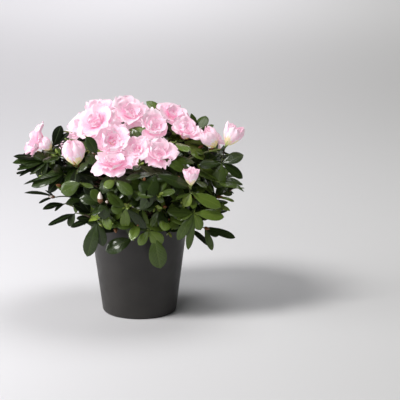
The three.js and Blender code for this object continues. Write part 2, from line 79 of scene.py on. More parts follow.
# Soil: its lumps have a scale in repeats a metre, a seed and a share of the relief. A fractal has its
# fall from octave to octave, the octaves' spacing and their number. A form, such as a crumb's, has the
# radius at shares of the length.
SOIL_TOP = 127 * MM
SOIL_DOME = 4 * MM
SOIL_RELIEF = 0.96 * MM
SOIL_LUMPS = ((90, 3, 1), (300, 9, 0.6))
SOIL_FRACTAL = (0.6, 2.2, 4)
SOIL_RINGS = 44
SOIL_SEGMENTS = 96
CRUMBS = 420
CRUMB_SEED = 501
CRUMB_RADIUS = 1.5 * MM
CRUMB_SIZES = (0.4, 1.5)
CRUMB_TILT = 60
CRUMB_FORM = ((-1, 0.35), (-0.3, 0.9), (0.4, 0.8), (1, 0.3))
CRUMB_REACH = 0.98
CRUMB_RISE = 0.2
CRUMB_GIRTHS = (0.7, 1.1)
CRUMB_SIDES = 6
GAP = 0.3 * MM

# Trunk and boughs
TRUNK_HEIGHT = 44 * MM
TRUNK_RADIUS = 7.2 * MM
TRUNK_TIP_RADIUS = 4.6 * MM
TRUNK_RINGS = 40
TRUNK_SIDES = 32
STRAIGHT_RINGS = 4
ROOT_FLARE = 5.5 * MM
FLARE_FADE = 9
TRUNK_LEAN = np.array([-8, -3, 0]) * MM
BOUGH_RADIUS = 2.5 * MM
BOUGH_ARCH = 0.12
BOUGH_STEPS = 18
BOUGH_SIDES = 14
COARSE_STEPS = 3
STEM_RINGS = 5
STEM_WITHIN = 0.97
BARK_RELIEF = 0.09
BARK_ROUND = 2.2
BARK_ALONG = 0.22
BARK_FRACTAL = (0.5, 2.1, 4)
TRUNK_SEED = 1
BOUGH_SEED = 10
STEM_SEED = 40

# Crown: an ellipsoid about the heart, on which the shoots end
HEART = np.array([-14, 0, 185]) * MM
CROWN_HALF_WIDTH = 138 * MM
CROWN_HALF_DEPTH = 114 * MM
CROWN_RISE = 92 * MM
CROWN_DROP = 68 * MM

# Tiers of foliage masses: how many, where the first one lies, and how far up. Hub and hub lift say
# where the mass's twigs start, fork where its bough leaves the trunk, and shoots the most it has.
TIERS = [
    dict(name="skirt", count=7, turn=-25, lift=-34, hub_lift=-14, hub=0.52, fork=0.5, shoots=5),
    dict(name="shoulder", count=7, turn=-98, lift=8, hub_lift=9, hub=0.45, fork=0.7, shoots=6),
    dict(name="upper", count=5, turn=-38, lift=48, hub_lift=46, hub=0.42, fork=0.88, shoots=5),
    dict(name="top", count=1, turn=0, lift=90, hub_lift=90, hub=0.45, fork=1, shoots=3),
]
MASS_CENTRE_SHARE = 0.8
BORDER_ROUNDS = 3
FORK_SPREAD = 0.14
FORK_STEP = 3

# Blooms and buds: the middle of each one in mm, its size as a share of a full bloom, the turn and
# lift it faces where it doesn't look straight out of the crown, and how wide it has opened
BLOOMS = [
    dict(at=(-140, -14, 247), size=0.95, face=(-75, 22), open=1.25),
    dict(at=(-78, 5, 262), size=0.95, face=(-62, 42)),
    dict(at=(-52, 25, 281), size=0.9, face=(-15, 64)),
    dict(at=(-55, -40, 277), size=1.05, face=(-25, 42)),
    dict(at=(-11, 5, 283), size=0.98, face=(12, 48), open=1.12),
    dict(at=(-31, -72, 258), size=1, face=(4, 30), open=0.8),
    dict(at=(-30, -92, 237), size=0.95, face=(-10, 66), open=1.3),
    dict(at=(1, -80, 246), size=0.7, face=(-20, 25), open=1.2),
    dict(at=(22, -42, 271), size=0.92, face=(22, 42), open=0.8),
    dict(at=(31, -78, 241), size=0.92, face=(8, 36), open=0.9),
    dict(at=(49, 8, 281), size=0.85, face=(35, 52), open=1.15),
    dict(at=(66, -20, 261), size=0.9, face=(25, 62), open=0.85),
    dict(kind="bud", at=(-81, -74, 243), size=1.1, face=(-45, 74), open=0.22),
    dict(kind="bud", at=(101, -40, 253), size=0.9, face=(-60, 58), open=0.5, bare=True),
    dict(kind="bud", at=(128, -45, 258), size=0.95, face=(75, 62), open=0.8, bare=True),
    dict(kind="bud", at=(74, -95, 211), size=0.72, face=(0, 78), open=0.95, bare=True),
    dict(at=(0, 62, 270), size=1),
    dict(at=(-64, 74, 250), size=0.95),
    dict(at=(56, 66, 252), size=0.95),
    dict(at=(-4, 104, 234), size=0.9),
    dict(at=(100, 34, 240), size=0.85),
    dict(kind="bud", at=(-104, 70, 222), size=0.95, open=0.6),
    dict(kind="bud", at=(48, 104, 222), size=0.9, open=0.4),
    dict(kind="bud", at=(-60, 106, 208), size=0.6, open=0.9),
]

# Shoots: how they fan out, and how much room each one keeps
SHOOT_TRIALS = 18
FAN = 34
GOLDEN_TURN = 137.508
LEAST_REACH = 0.93
SPREAD_OF_REACH = 0.13
SHOOT_CLEARANCE = 12 * MM
SHOOT_ROOM = 23 * MM
BLOOM_CLEARANCE = 14 * MM
BLOOM_ROOM = 30 * MM
RISE_OF_SHOOT = 0.3
TIP_POT_CLEARANCE = 16 * MM

# Stem and twigs of a mass
STEM_RADIUS = 2 * MM
STEM_LENGTH = 10 * MM
TWIG_RADIUS = 1.5 * MM
TWIG_TIP_RADIUS = 1 * MM
TWIG_ARCH = 0.2
TWIG_CLEARANCE = 3 * MM
TWIG_STEPS = 8
TWIG_SIDES = 7
BEAD_LENGTH = 3 * MM

# Side twigs, which the solids leave out: where they leave a twig, and how they spread
SIDE_SHARES = (0.45, 0.66, 0.86)
SIDE_ANGLE = 50
SIDE_LENGTH = 27 * MM
SIDE_LENGTHS = (0.75, 1.3)
SIDE_LEAST = 1 / 3
SIDE_REACH = 0.99
SIDE_OUTWARD = 0.55
SIDE_CLEARANCE = 4 * MM
SIDE_ROOM = 15 * MM
SIDE_TRIES = 4
OPEN_SHARE = 0.3
OPEN_SEED = 77
BROWN_TO = 0.3
OLIVE_TO = 0.65
STALK_FROM = 0.6

# What sprays on main and on finer twigs have: what their steps and bead are divided by, the
# thickness, how many leaves in the whorl and lower down, how large they are, and how many young
# leaves in the middle
MAIN = SimpleNamespace(part=1, thickness=1, leaves=6, lower=2, sizes=(0.76, 1.06), young=4)
FINER = SimpleNamespace(part=2, thickness=0.72, leaves=4, lower=1, sizes=(0.58, 0.98), young=3)

# Sprays that the front shows: where each whorl sits, its tone, what its middle holds, and its
# leaves. Deep and dark tones are partly painted shade, and bright ones partly painted light. Each leaf
# has the place of its tip and its width in mm, and how far its face looks up.
# A fork is where the whorl's twig leaves its neighbour's; without one it leaves the nearest twig.
# The last row carries a small bud and has no leaves.
SHOWN_TWIG = 14 * MM
SHOWN_SEED = 900
SHOWN_BUD_SEED = 100
SHOWN_SPRAYS = [
    dict(at=(-123, -34, 224), tone="dark", leaves=[(-169, -38, 230, 15, 70), (-161, -37, 223, 19, 40),
         (-171, -34, 220, 16, 66), (-165, -38, 211, 15, 68), (-162, -37, 202, 13, 66),
         (-137, -35, 200, 16, 50), (-143, -36, 232, 15, 50), (-148, -36, 208, 17, 60)]),
    dict(at=(-98, -66, 211), tone="dark", leaves=[(-142, -70, 195, 19, 42), (-117, -68, 224, 15, 60),
         (-153, -66, 197, 13, 72), (-120, -66, 186, 15, 40)]),
    dict(at=(-79, -90, 218), tone="dark", leaves=[(-51, -87, 209, 15, 60), (-64, -89, 231, 13, 60)]),
    dict(at=(-74, -101, 207), tone="mid", leaves=[(-100, -96, 193, 21, 20), (-56, -114, 203, 9, 60)]),
    dict(at=(-114, -40, 173), tone="deep", heart="bud", leaves=[(-155, -44, 180, 14, 82),
         (-136, -42, 165, 11, 84), (-127, -41, 183, 8, 80)]),
    dict(at=(-100, -46, 165), tone="dark", fork=(-59, -82, 151), leaves=[(-130, -49, 158, 15, 70),
         (-114, -47, 155, 9, 70), (-77, -44, 174, 13, 50), (-82, -44, 163, 10, 70)]),
    dict(at=(-63, -72, 158), tone="deep", leaves=[(-86, -74, 171, 13, 45), (-75, -73, 176, 14, 30),
         (-79, -73, 160, 11, 60)]),
    dict(at=(-85, -56, 154), tone="dark", fork=(-59, -82, 151), leaves=[(-122, -59, 138, 15, 62),
         (-94, -57, 136, 11, 50), (-82, -56, 168, 9, 60)]),
    dict(at=(-59, -82, 151), tone="deep", leaves=[(-89, -85, 142, 14, 68), (-81, -84, 154, 10, 60)]),
    dict(at=(-116, -26, 241), tone="deep", leaves=[(-105, -25, 270, 15, 10), (-94, -24, 260, 9, 40)]),
    dict(at=(-51, -88, 242), tone="deep", leaves=[(-65, -89, 267, 15, 20)]),
    dict(at=(-47, -113, 182), tone="dark", heart="white", leaves=[(-74, -111, 188, 15, 35),
         (-40, -112, 160, 17, 20), (-58, -114, 201, 14, 30)]),
    dict(at=(-53, -92, 151), tone="mid", leaves=[(-67, -92, 103, 20, 10), (-45, -91, 117, 16, 10)]),
    dict(at=(-27, -110, 213), tone="mid", leaves=[(-4, -121, 196, 16, 25), (-41, -117, 204, 14, 40)]),
    dict(at=(27, -102, 219), tone="dark", leaves=[(12, -120, 192, 28, 12), (-12, -116, 215, 14, 60),
         (70, -96, 201, 17, 35)]),
    dict(at=(38, -86, 236), tone="dark", leaves=[(65, -91, 221, 15, 45), (78, -73, 229, 15, 50)]),
    dict(at=(-13, -115, 176), tone="mid", heart="young", leaves=[(-32, -120, 175, 15, 22),
         (-15, -99, 144, 14, 15), (13, -95, 143, 13, 30), (-36, -120, 193, 14, 30)]),
    dict(at=(6, -113, 172), tone="mid", leaves=[(22, -117, 195, 17, 20)]),
    dict(at=(17, -88, 138), tone="bright", leaves=[(6, -89, 168, 9, 40), (31, -87, 166, 9, 40),
         (3, -89, 118, 13, 20), (34, -86, 118, 19, 15)]),
    dict(at=(24, -88, 129), tone="mid", leaves=[(32, -87, 85, 25, 8)]),
    dict(at=(78, -94, 164), tone="bright", heart="young", leaves=[(42, -97, 167, 17, 35),
         (55, -96, 156, 12, 45), (118, -90, 157, 16, 38), (87, -93, 140, 15, 15), (56, -96, 127, 14, 15),
         (70, -94, 113, 11, 25)]),
    dict(at=(92, -62, 135), tone="mid", heart="bud", leaves=[(103, -61, 103, 10, 30),
         (112, -60, 124, 13, 25), (134, -58, 120, 12, 40)]),
    dict(at=(74, -97, 192), tone="bright", leaves=[(47, -99, 180, 11, 70), (114, -93, 172, 18, 35),
         (65, -98, 174, 14, 30)]),
    dict(at=(116, -52, 224), tone="dark", leaves=[(85, -55, 221, 15, 50), (145, -49, 234, 18, 35),
         (109, -53, 189, 21, 20), (144, -50, 202, 15, 45)]),
    dict(at=(-118, -27, 237), tone="dark", bud=dict(size=0.62, face=(-62, 42), open=0.3), leaves=[]),
]

# Leaves: their outline, their bends, and how they stand in a whorl
LEAF_LENGTH = 41 * MM
LEAF_WIDTH = 20.5 * MM
LEAF_STALK = 0.06
LEAF_STALK_WIDTH = 0.085
LEAF_WEDGE = 0.86
LEAF_ROUND = 0.6
LEAF_TIP = 1.02
LEAF_STATIONS = np.array([0, 0.07, 0.16, 0.3, 0.46, 0.62, 0.76, 0.87, 0.95])
LEAF_COLUMNS = np.array([-1, -0.62, -0.08, 0.08, 0.62, 1])
RIB_COLUMN = 2
LEAF_KEEL = 0.36
LEAF_KEELS = (0.7, 1.25)
LEAF_ROLL = 0.34
LEAF_SAG = 0.16
LEAF_TWIST = 0.25
LEAF_WAVE = (0.02, 0.09)
WAVES_ALONG = 1.4
WAVES_ACROSS = 0.25
LEAF_CURL = (0.15, 0.75)
SHOWN_CURL = (0.15, 0.6)
LEAF_WIDTHS = (0.88, 1.1)
LEAF_SIZES = (0.86, 1.1)
LOWER_SIZES = (0.7, 0.95)
LOWER_FROM = 0.6
LOWER_OVER = 0.32
LEAF_THICKNESS = (0.9 * MM, 0.35 * MM)
LEAF_PITCH = 62
PITCH_LIMITS = (18, 118)
PITCH_SPREAD = 26
PITCH_UNDER_BLOOM = 16
PITCH_LOWER = 8
SPIN_SPREAD = 0.3
ROOT_SHARES = (0.1, 1.2)
ROOT_OUT = 0.6
DROOP = 0.08
LOWER_DROOP = 0.15
SKYWARD = 0.35
LEAST_FACE = 0.1
# Other turns in radians, pitches in degrees and sizes that a leaf tries until it has room
LEAF_TRIES = (
    (0, 0, 1), (0.22, -8, 1), (-0.22, 8, 1), (0.4, 6, 0.9), (-0.4, -10, 0.85), (0, -22, 0.72),
)
SHOWN_SAMPLES = [(u / 10, s / 5) for u in range(2, 11) for s in (-4, -2, 0, 2, 4)]
LEAF_SAMPLES = ((0.35, 0), (0.6, 0), (0.6, 0.7), (0.6, -0.7), (0.85, 0.5), (0.85, -0.5), (1, 0))

# Room that leaves keep: the crown's lower edge and its top as the front shows them, what hides
# what, and the blooms' and the pot's surroundings
HEM_ACROSS = (-165 * MM, -115 * MM, -88 * MM, -75 * MM, -45 * MM, 45 * MM, 110 * MM)
HEM = (208 * MM, 184 * MM, 160 * MM, 134 * MM, 114 * MM, 114 * MM, 138 * MM)
HEM_OPEN = -60 * MM
LEAST_POINTS = 4
WHORL_RISE = (0.3, 0.7)
RISE_REACH = (45 * MM, 110 * MM)
HANG_SHARE = 0.04
LID = (232 * MM, 262 * MM, 400 * MM)
LID_REACH = (-150 * MM, -64 * MM, -58 * MM)
LID_FALL = 0.2
VIEW_SLOPE = 0.237
VIEW_SHARE = 0.85
FRONT_LIMIT = 20 * MM
HIDING = 2 * MM
CROWD_LIMIT = 3
CELL = 5 * MM
POT_CLEARANCE = 1.5 * MM
BOX_CLEARANCE = 1 * MM
BLOOM_KEEP_OUT = 0.9
SIDE_BLOOM_ROOM = 4 * MM

# What sits in the middle of a whorl, a bud in scales or young leaves, and a bloom's stalk and scales.
# Small leaves face partly along the axis that they stand round and partly towards it.
YOUNG_LEAF = SimpleNamespace(off=0, upward=1, inward=0.3, curl=0.5)
BUD_SCALE = SimpleNamespace(off=0.8 * MM, upward=0, inward=1, curl=-0.6)
FOOT_SCALE = SimpleNamespace(off=1.1 * MM, upward=1, inward=0.4, curl=0.4)
BUD_SHARE = 0.36
WHITE_SHARE = 0.2
BUD_FORM = ((0, 0.5), (0.2, 1), (0.45, 1), (0.7, 0.72), (0.88, 0.38), (1, 0.06))
BUD_SIZES = (8, 12)
WHITE_BUD_LENGTH = 16 * MM
WHITE_BUD_FACE = (0, 80)
BUD_THICKNESS = 0.24
BUD_SCALES = 4
SCALE_LEAN = 0.5
SCALE_LENGTH = 0.62
SCALE_WIDTH = 3.2 * MM
YOUNG_LEANS = (0.35, 0.8)
YOUNG_LENGTHS = (5, 11)
YOUNG_SHARE = 0.3
YOUNG_WIDTH = 0.4
SMALL_SIDES = 8
STALK_FORM = ((0, 1.1 * MM), (0.35, 1.2 * MM), (0.7, 1.9 * MM), (1, 2.6 * MM))
STALK_SINK = 2 * MM
CUP_SHARE = 0.14
LEAST_STALK = 0.8
FOOT_SCALES = 6
RUSTY = ("scale_rust", "scale_rust")
STRAWY = ("scale_straw", "leaf_young")
RUST_SHARE = 0.55
FOOT_LEANS = (0.5, 1.1)
FOOT_LENGTHS = (6, 9.5)
FOOT_SCALE_WIDTH = 3.4 * MM

# Blooms: layers of petals by length, width and wrap as shares of the bloom's radius, the angles at
# which they start and end, how ruffled they are, and how deep their pink is
BLOOM_RADIUS = 27 * MM
BLOOM_FOOT = 0.62
FOOT_SINK = 1 * MM
PETAL_ROWS = 12
PETAL_COLUMNS = 13
PETAL_SHARES = np.linspace(0, 1, PETAL_ROWS)
PETAL_THICKNESS = 0.35 * MM
BLOOM_LAYERS = [
    dict(count=5, length=1.22, width=1.2, start=34, end=94, wrap=2.3, ruffle=0.095, flush=0.0),
    dict(count=4, length=1.12, width=1.25, start=24, end=68, wrap=2.0, ruffle=0.11, flush=0.03),
    dict(count=3, length=0.9, width=1.1, start=10, end=40, wrap=1.7, ruffle=0.12, flush=0.1),
    dict(count=3, length=0.6, width=0.6, start=0, end=24, wrap=1.4, ruffle=0.13, flush=0.22),
]
BLOOM_DEPTH = 0.46
BLOOM_HEART = 0.05
PETAL_LENGTHS = (0.84, 1.12)
PETAL_HALVES = (0.4, 0.55)
PETAL_DISORDER = 24
BLOOM_STAGGER = 0.5
BLOOM_SWAY = 0.55
WRAP_CORE = 0.12
WRAP_REACH = 0.75
NEAR = 1.15
PRESS_DEPTH = 5 * MM
PETAL_OVERLAP = 4 * MM

# Buds: how wide one is at shares of its length when shut, and what opening adds to that
BUD_LENGTH = 36 * MM
BUD_RADIUS = 14 * MM
BUD_BODY = 0.86
BUD_SHARES = (0, 0.1, 0.28, 0.55, 0.8, 0.93, 1)
BUD_SHUT = np.array([0.2, 0.5, 0.84, 1.06, 0.94, 0.66, 0.28])
BUD_OPENING = np.array([-0.05, -0.17, -0.24, -0.17, 0.07, 0.4, 0.78])
BUD_LAYERS = [
    dict(count=5, reach=1.0, swell=1.0, spread=64, flush=0.0),
    dict(count=4, reach=1.0, swell=0.8, spread=66, flush=0.0),
    dict(count=3, reach=0.99, swell=0.5, spread=70, flush=0.05),
]
BUD_MOUTHS = (0.9, 1.12)
BUD_REACHES = (0.94, 1.04)
BUD_OVERLAP = 0.75
BUD_CORE = 0.1
BUD_STAGGER = 0.4
BUD_SWAY = 0.15
BUD_RUFFLE = 0.05
OPEN_RUFFLE = 0.09

# Each kind's radius, half height, distance from its twig's end to its middle, lower end as a share
# of its radius, the place of its cup as a share of its half height, and its petals' creamy share
KINDS = {
    "bloom": SimpleNamespace(radius=BLOOM_RADIUS, half=BLOOM_RADIUS, foot=BLOOM_RADIUS * BLOOM_FOOT,
                             low=-0.2, cup=-0.5, cream=0.3, layers=BLOOM_LAYERS),
    "bud": SimpleNamespace(radius=BUD_RADIUS, half=BUD_LENGTH / 2, foot=BUD_LENGTH / 2,
                           low=-1, cup=1 - 2 * BUD_BODY, cream=0.62, layers=BUD_LAYERS),
}

# Petals' outline, their waves, and the steps of pink from deep to pale over their faces
CLAW_WIDTH = 0.24
CLAW_ROUND = 0.8
PETAL_WIDEST = 0.62
PETAL_END = 0.41
PETAL_END_ROUND = 2.6
CRINKLE_WAVES = (3.6, 2.2)
CRINKLE_RISE = 1.2
FRILL_WAVES = 6.5
FRILL_DEPTH = 0.7
FOLD_WIDTH = 0.25
FOLD_DEPTH = 0.2
PETAL_TWIST = 0.2
EDGE_SHORTER = 0.07
EDGE_WAVES = 5.5
EDGE_WAVE_DEPTH = 0.06
DITHER = 0.5
OWN_PINK = 0.8
STREAK_WIDTH = 0.16
STREAK_PINK = 2.2
EDGE_PALING = 1.5
PALING_ROUND = 0.8
INNER_PINK = SimpleNamespace(start=1.2, paling=4.4, flush=4)
OUTER_PINK = SimpleNamespace(start=2.6, paling=2.4, flush=2)
HEART_SHARE = 0.14
CREAM_BAND = 0.14
LIME_SHARE = 0.2
TONGUE_ROUND = 0.35
TONGUE_DITHER = 0.2

# Skins. Each noise has its scale in repeats a metre, and some their detail and roughness. Tones run
# between two colours, gloss between two roughnesses, and a relief has a strength and a depth.
POT_SKIN = dict(colour=(0.021, 0.019, 0.017), roughness=0.42, shine=0.4,
                tones=((35, 5.0), (0.018, 0.0163, 0.0148), (0.0245, 0.022, 0.02)),
                gloss=((90,), 0.38, 0.5), relief=((1400, 2.0), 0.12, 0.2 * MM))
SOIL_SKIN = dict(colour=(0.035, 0.021, 0.013), roughness=0.95, shine=0.2,
                 tones=((260, 6.0, 0.7), (0.016, 0.010, 0.007), (0.075, 0.045, 0.027)),
                 relief=((700, 5.0, 0.7), 0.9, 1.2 * MM))
BARK_SKIN = dict(colour=(0.12, 0.075, 0.045), roughness=0.82, shine=0.25,
                 tones=((240, 6.0, 0.65), (0.055, 0.034, 0.022), (0.21, 0.14, 0.09)),
                 relief=((900, 5.0, 0.6), 0.8, 0.8 * MM))
CRUMB_SKIN = dict(roughness=0.9, shine=0.5, relief=((1200,), 0.8, 0.6 * MM))
TWIG_SKIN = dict(roughness=0.6, shine=0.35, relief=((700,), 0.5, 0.4 * MM))
PETAL_SKIN = dict(roughness=0.55, shine=0.25, relief=((420, 3.0), 0.15, 0.4 * MM))
NOISE_BAND = (0.3, 0.7)
LEAF_ROUGHNESS = 0.3
MATT_ROUGHNESS = 0.6
VEINS_ALONG = 9
VEIN_SLANT = 4.5
VEIN_RELIEF = (0.45, 0.7 * MM)
PEBBLES = (520, 3.0)
LEAF_GLOSS = (160,)
GLOSS_LIMITS = (-0.07, 0.1)
MATT_LEAVES = ("leaf_painted_shade", "leaf_under", "scale_rust", "scale_straw")
MATT = dict(Specular_IOR_Level=0.08, Coat_Weight=0.02, Coat_Roughness=0.12)
GLOSSY = dict(Specular_IOR_Level=0.17, Coat_Weight=0.38, Coat_Roughness=0.12)

# Base colours, each the look of some faces of the pieces
LEAF_TINTS = {
    # The first and nearly black leaf tint is painted shade, for leaves deep inside the crown.
    "leaf_painted_shade": (0.005, 0.009, 0.002),
    "leaf_dark": (0.021, 0.037, 0.007),
    "leaf_mid": (0.049, 0.081, 0.012),
    "leaf_bright": (0.100, 0.155, 0.023),
    "leaf_fresh": (0.180, 0.245, 0.040),
    "leaf_dull_and_shade": (0.036, 0.050, 0.014),
    "rib_dark": (0.032, 0.054, 0.009),
    "rib_mid": (0.066, 0.102, 0.017),
    "rib_bright": (0.122, 0.178, 0.028),
    "leaf_under": (0.066, 0.088, 0.028),
    "leaf_young": (0.270, 0.320, 0.060),
    "scale_rust": (0.210, 0.080, 0.028),
    "scale_straw": (0.420, 0.300, 0.110),
}
PETAL_TINTS = {
    "petal_heart": (0.55, 0.48, 0.14),
    "petal_lime": (0.50, 0.58, 0.20),
    "petal_cream": (0.72, 0.62, 0.40),
    "petal_0": (0.620, 0.140, 0.310),
    "petal_1": (0.660, 0.250, 0.410),
    "petal_2": (0.690, 0.360, 0.500),
    "petal_3": (0.720, 0.460, 0.580),
    "petal_4": (0.740, 0.540, 0.630),
    "petal_5": (0.750, 0.590, 0.670),
    "petal_6": (0.755, 0.630, 0.700),
    "petal_7": (0.760, 0.660, 0.720),
}
TWIG_TINTS = {
    "twig_brown": (0.072, 0.050, 0.027),
    "twig_olive": (0.082, 0.096, 0.034),
    "twig_green": (0.175, 0.230, 0.060),
    "stalk_green": (0.300, 0.380, 0.110),
    "bud_brown": (0.130, 0.055, 0.026),
    "bud_rust": (0.210, 0.090, 0.036),
    "bud_white": (0.860, 0.760, 0.720),
}
CRUMB_TINTS = {
    "crumb_dark": (0.018, 0.011, 0.008),
    "crumb_brown": (0.055, 0.032, 0.019),
    "crumb_rust": (0.105, 0.058, 0.030),
}
LEAF_PLACES, PETAL_PLACES, TWIG_PLACES = (
    {name: i for i, name in enumerate(tints)} for tints in (LEAF_TINTS, PETAL_TINTS, TWIG_TINTS))
PALEST = "petal_7"
PINKS = 8
# Painted light: petals emit a faint pink light of their own, the deeper pinks less, standing in for light
# that comes through them.
PAINTED_GLOW_COLOUR = (1.0, 0.79, 0.86)
PAINTED_GLOW_STRENGTH = 0.28

# Each tone's usual leaf and its two others. A whorl's tone depends on its part of the crown: each
# tone there is picked up to its share. The darker tones inside the crown and on its left are painted
# shade, and the brighter ones on its right painted light.
SPRAY_TONES = {
    "deep": ("leaf_painted_shade", "leaf_dark", "leaf_painted_shade"),
    "dark": ("leaf_dark", "leaf_mid", "leaf_painted_shade"),
    "mid": ("leaf_mid", "leaf_dark", "leaf_bright"),
    "bright": ("leaf_bright", "leaf_mid", "leaf_fresh"),
    "dull": ("leaf_dull_and_shade", "leaf_dark", "leaf_mid"),
}
USUAL_SHARE = 0.6
RIB_OF = {"leaf_painted_shade": "leaf_dark", "leaf_dark": "rib_dark", "leaf_mid": "rib_mid"}
TONES_OF = {
    "inner": ((0.75, "deep"), (1, "dark")),
    "left": ((0.4, "deep"), (0.85, "dark"), (1, "mid")),
    "right": ((0.35, "bright"), (0.75, "mid"), (1, "dark")),
    "low": ((0.14, "bright"), (0.45, "mid"), (1, "dark")),
    "other": ((0.4, "dark"), (0.75, "mid"), (0.82, "dull"), (1, "bright")),
}
INNER_DEPTH = 0.87
LEFT_FROM = -0.4 * CROWN_HALF_WIDTH
RIGHT_FROM = 0.35 * CROWN_HALF_WIDTH
LOW_FROM = -10 * MM

# Stage, lights and camera
FLOOR_RADIUS = 14.0
FLOOR_SEGMENTS = 96
# The floor's colour is painted shade: pale on the left and greyer to the right, a painted falloff of the
# light along a slanting way.
FLOOR_LIT_LEFT = (0.83, 0.82, 0.865)
FLOOR_SHADED_RIGHT = (0.56, 0.56, 0.56)
FLOOR_PAINTED_FALLOFF = (-0.8, 0.7)
FLOOR_PAINTED_FALLOFF_WAY = (1, -0.12, 0)
KEY_FROM = (-52, 48)
KEY_SOFTNESS = 18
KEY_STRENGTH = 2.26
KEY_COLOUR = (1.0, 0.985, 0.96)
WORLD_COLOUR = (0.97, 0.98, 1.0)
WORLD_STRENGTH = 0.065
# Soft lights: a name, a place, what it shines at, a size and a strength
SOFT_BOXES = (
    ("overhead", (0.35, 0.3, 1.9), (0, 0, 0.2), 1.2, 14),
    ("side", (-1.3, -0.3, 0.5), (0, 0, 0.12), 0.8, 12.5),
    ("front", (-0.8, -1.9, 1.0), (0, 0, 0.2), 1.2, 8),
    ("backdrop", (0, 4.2, 1.8), (0, 4.2, 0), 2.2, 22),
)
CAMERA_PLACE = (0.08605, -2.2, 0.68)
CAMERA_TARGET = (0.08605, 0, 0.1594)
CAMERA_LENS = 144.893


class Stream:
    """Seeded random numbers from 0 to 1. What shares a seed takes its own multiple of it and a step,
    so that no two streams run alike."""

    def __init__(self, seed):
        self.state = (seed * 7919 + 104729) & 0xFFFFFFFF
        for _ in range(4):
            self.draw()

    def draw(self):
        self.state = (self.state * 1664525 + 1013904223) & 0xFFFFFFFF
        return self.state / 0x100000000

    def between(self, low, high):
        return low + (high - low) * self.draw()


def norm(v):
    return math.sqrt(v @ v)


def unit(v):
    return v / norm(v)


def distance(a, b):
    return norm(a - b)


def square(v, along):
    """The unit vector square to a direction that is nearest to another vector."""
    return unit(v - along * (v @ along))


def aim(turn, lift):
    """Unit vector for a turn and a lift."""
    t, l = math.radians(turn), math.radians(lift)
    return np.array([math.cos(l) * math.sin(t), -math.cos(l) * math.cos(t), math.sin(l)])


def frame_about(direction):
    """Two unit vectors square to a direction."""
    helper = np.array([0.0, 1.0, 0.0]) if abs(direction[2]) > NEARLY_UPRIGHT else UP
    side = unit(np.cross(direction, helper))
    return side, unit(np.cross(side, direction))


def bearing(direction, spin):
    """A unit vector square to a direction, on the bearing that spin gives."""
    side, over = frame_about(direction)
    return side * math.cos(spin) + over * math.sin(spin)


def tilted(direction, angle, spin):
    """A direction tilted off another by an angle, on the bearing that spin gives."""
    return direction * math.cos(angle) + bearing(direction, spin) * math.sin(angle)


def crown_reach(direction):
    """How far the crown reaches from its heart in a direction."""
    height = CROWN_RISE if direction[2] > 0 else CROWN_DROP
    return 1 / math.hypot(
        direction[0] / CROWN_HALF_WIDTH, direction[1] / CROWN_HALF_DEPTH, direction[2] / height
    )


def bow(start, by, end, steps):
    """Points along a bow from one place to another, by way of a control point."""
    t = np.linspace(0, 1, steps + 1)[:, None]
    return (1 - t) ** 2 * start + 2 * t * (1 - t) * by + t**2 * end


def arched(start, end, share):
    """The middle of the way between two places, lifted by a share of the way's length."""
    return (start + end) / 2 + UP * distance(start, end) * share


def trunk_point(share):
    foot = np.array([0, 0, SOIL_TOP + SOIL_DOME + GAP])
    return foot + UP * TRUNK_HEIGHT * share + TRUNK_LEAN * share * share


def trunk_radius(share):
    taper = TRUNK_RADIUS + (TRUNK_TIP_RADIUS - TRUNK_RADIUS) * share
    return taper + ROOT_FLARE * math.exp(-share * FLARE_FADE)


def bough_way(mass, steps):
    root = trunk_point(mass.fork)
    return bow(root, arched(root, mass.hub, BOUGH_ARCH), mass.hub, steps)


def wall_radius(height):
    """How far out the pot's wall is at a height."""
    return FOOT_RADIUS + (RIM_RADIUS - FOOT_RADIUS) * height / POT_HEIGHT


def lay_out_masses():
    """The tiers' masses as one list, each with its direction, centre, hub and seed."""
    masses = []
    for tier in TIERS:
        for i in range(tier["count"]):
            turn = tier["turn"] + 360 * i / tier["count"]
            direction, inwards = aim(turn, tier["lift"]), aim(turn, tier["hub_lift"])
            stagger = ((FORK_STEP * i) % tier["count"]) / tier["count"]
            mass = SimpleNamespace(
                tier=tier,
                turn=turn,
                direction=direction,
                seed=len(masses) + 1,
                centre=HEART + direction * crown_reach(direction) * MASS_CENTRE_SHARE,
                hub=HEART + inwards * crown_reach(inwards) * tier["hub"],
                fork=tier["fork"] - FORK_SPREAD * stagger,
                blooms=[],
            )
            mass.bough_end = unit(mass.hub - bough_way(mass, COARSE_STEPS)[-2])
            masses.append(mass)
    for mass in masses:
        others = [other for other in masses if other is not mass]
        mass.across = [unit(other.centre - mass.centre) for other in others]
        mass.middles = [(other.centre + mass.centre) / 2 for other in others]
    return masses


def pulled_inside(mass, point, clearance):
    """A point moved in from the borders of a mass's space until it has the clearance asked for."""
    moved = np.array(point, float)
    for _ in range(BORDER_ROUNDS):
        for across, middle in zip(mass.across, mass.middles):
            short = clearance - (middle - moved) @ across
            if short > 0:
                moved = moved - across * short
    return moved


def outside_pot(point):
    """A point moved out sideways until it is clear of the pot."""
    out = math.hypot(point[0], point[1])
    least = RIM_RADIUS + TIP_POT_CLEARANCE
    if point[2] > POT_HEIGHT + TIP_POT_CLEARANCE or out > least:
        return point
    return np.array([point[0] * least / out, point[1] * least / out, point[2]])


def facing(point):
    """The way a shoot faces: out from the heart, turned up a little."""
    return unit(unit(point - HEART) + UP * RISE_OF_SHOOT)


def stalk_of(row):
    """How far a bloom's or bud's middle lies from its twig's end."""
    return KINDS[row["kind"]].foot * row["size"] - FOOT_SINK


def bloom_on(tip, axis, row, seed):
    """The bloom or bud that a row describes, on the end of a twig."""
    form = KINDS[row["kind"]]
    return SimpleNamespace(
        kind=row["kind"],
        form=form,
        size=row["size"],
        open=row.get("open", 1),
        bare=row.get("bare", False),
        axis=axis,
        tip=tip,
        centre=tip + axis * stalk_of(row),
        radius=form.radius * row["size"],
        half=form.half * row["size"],
        seed=seed,
    )


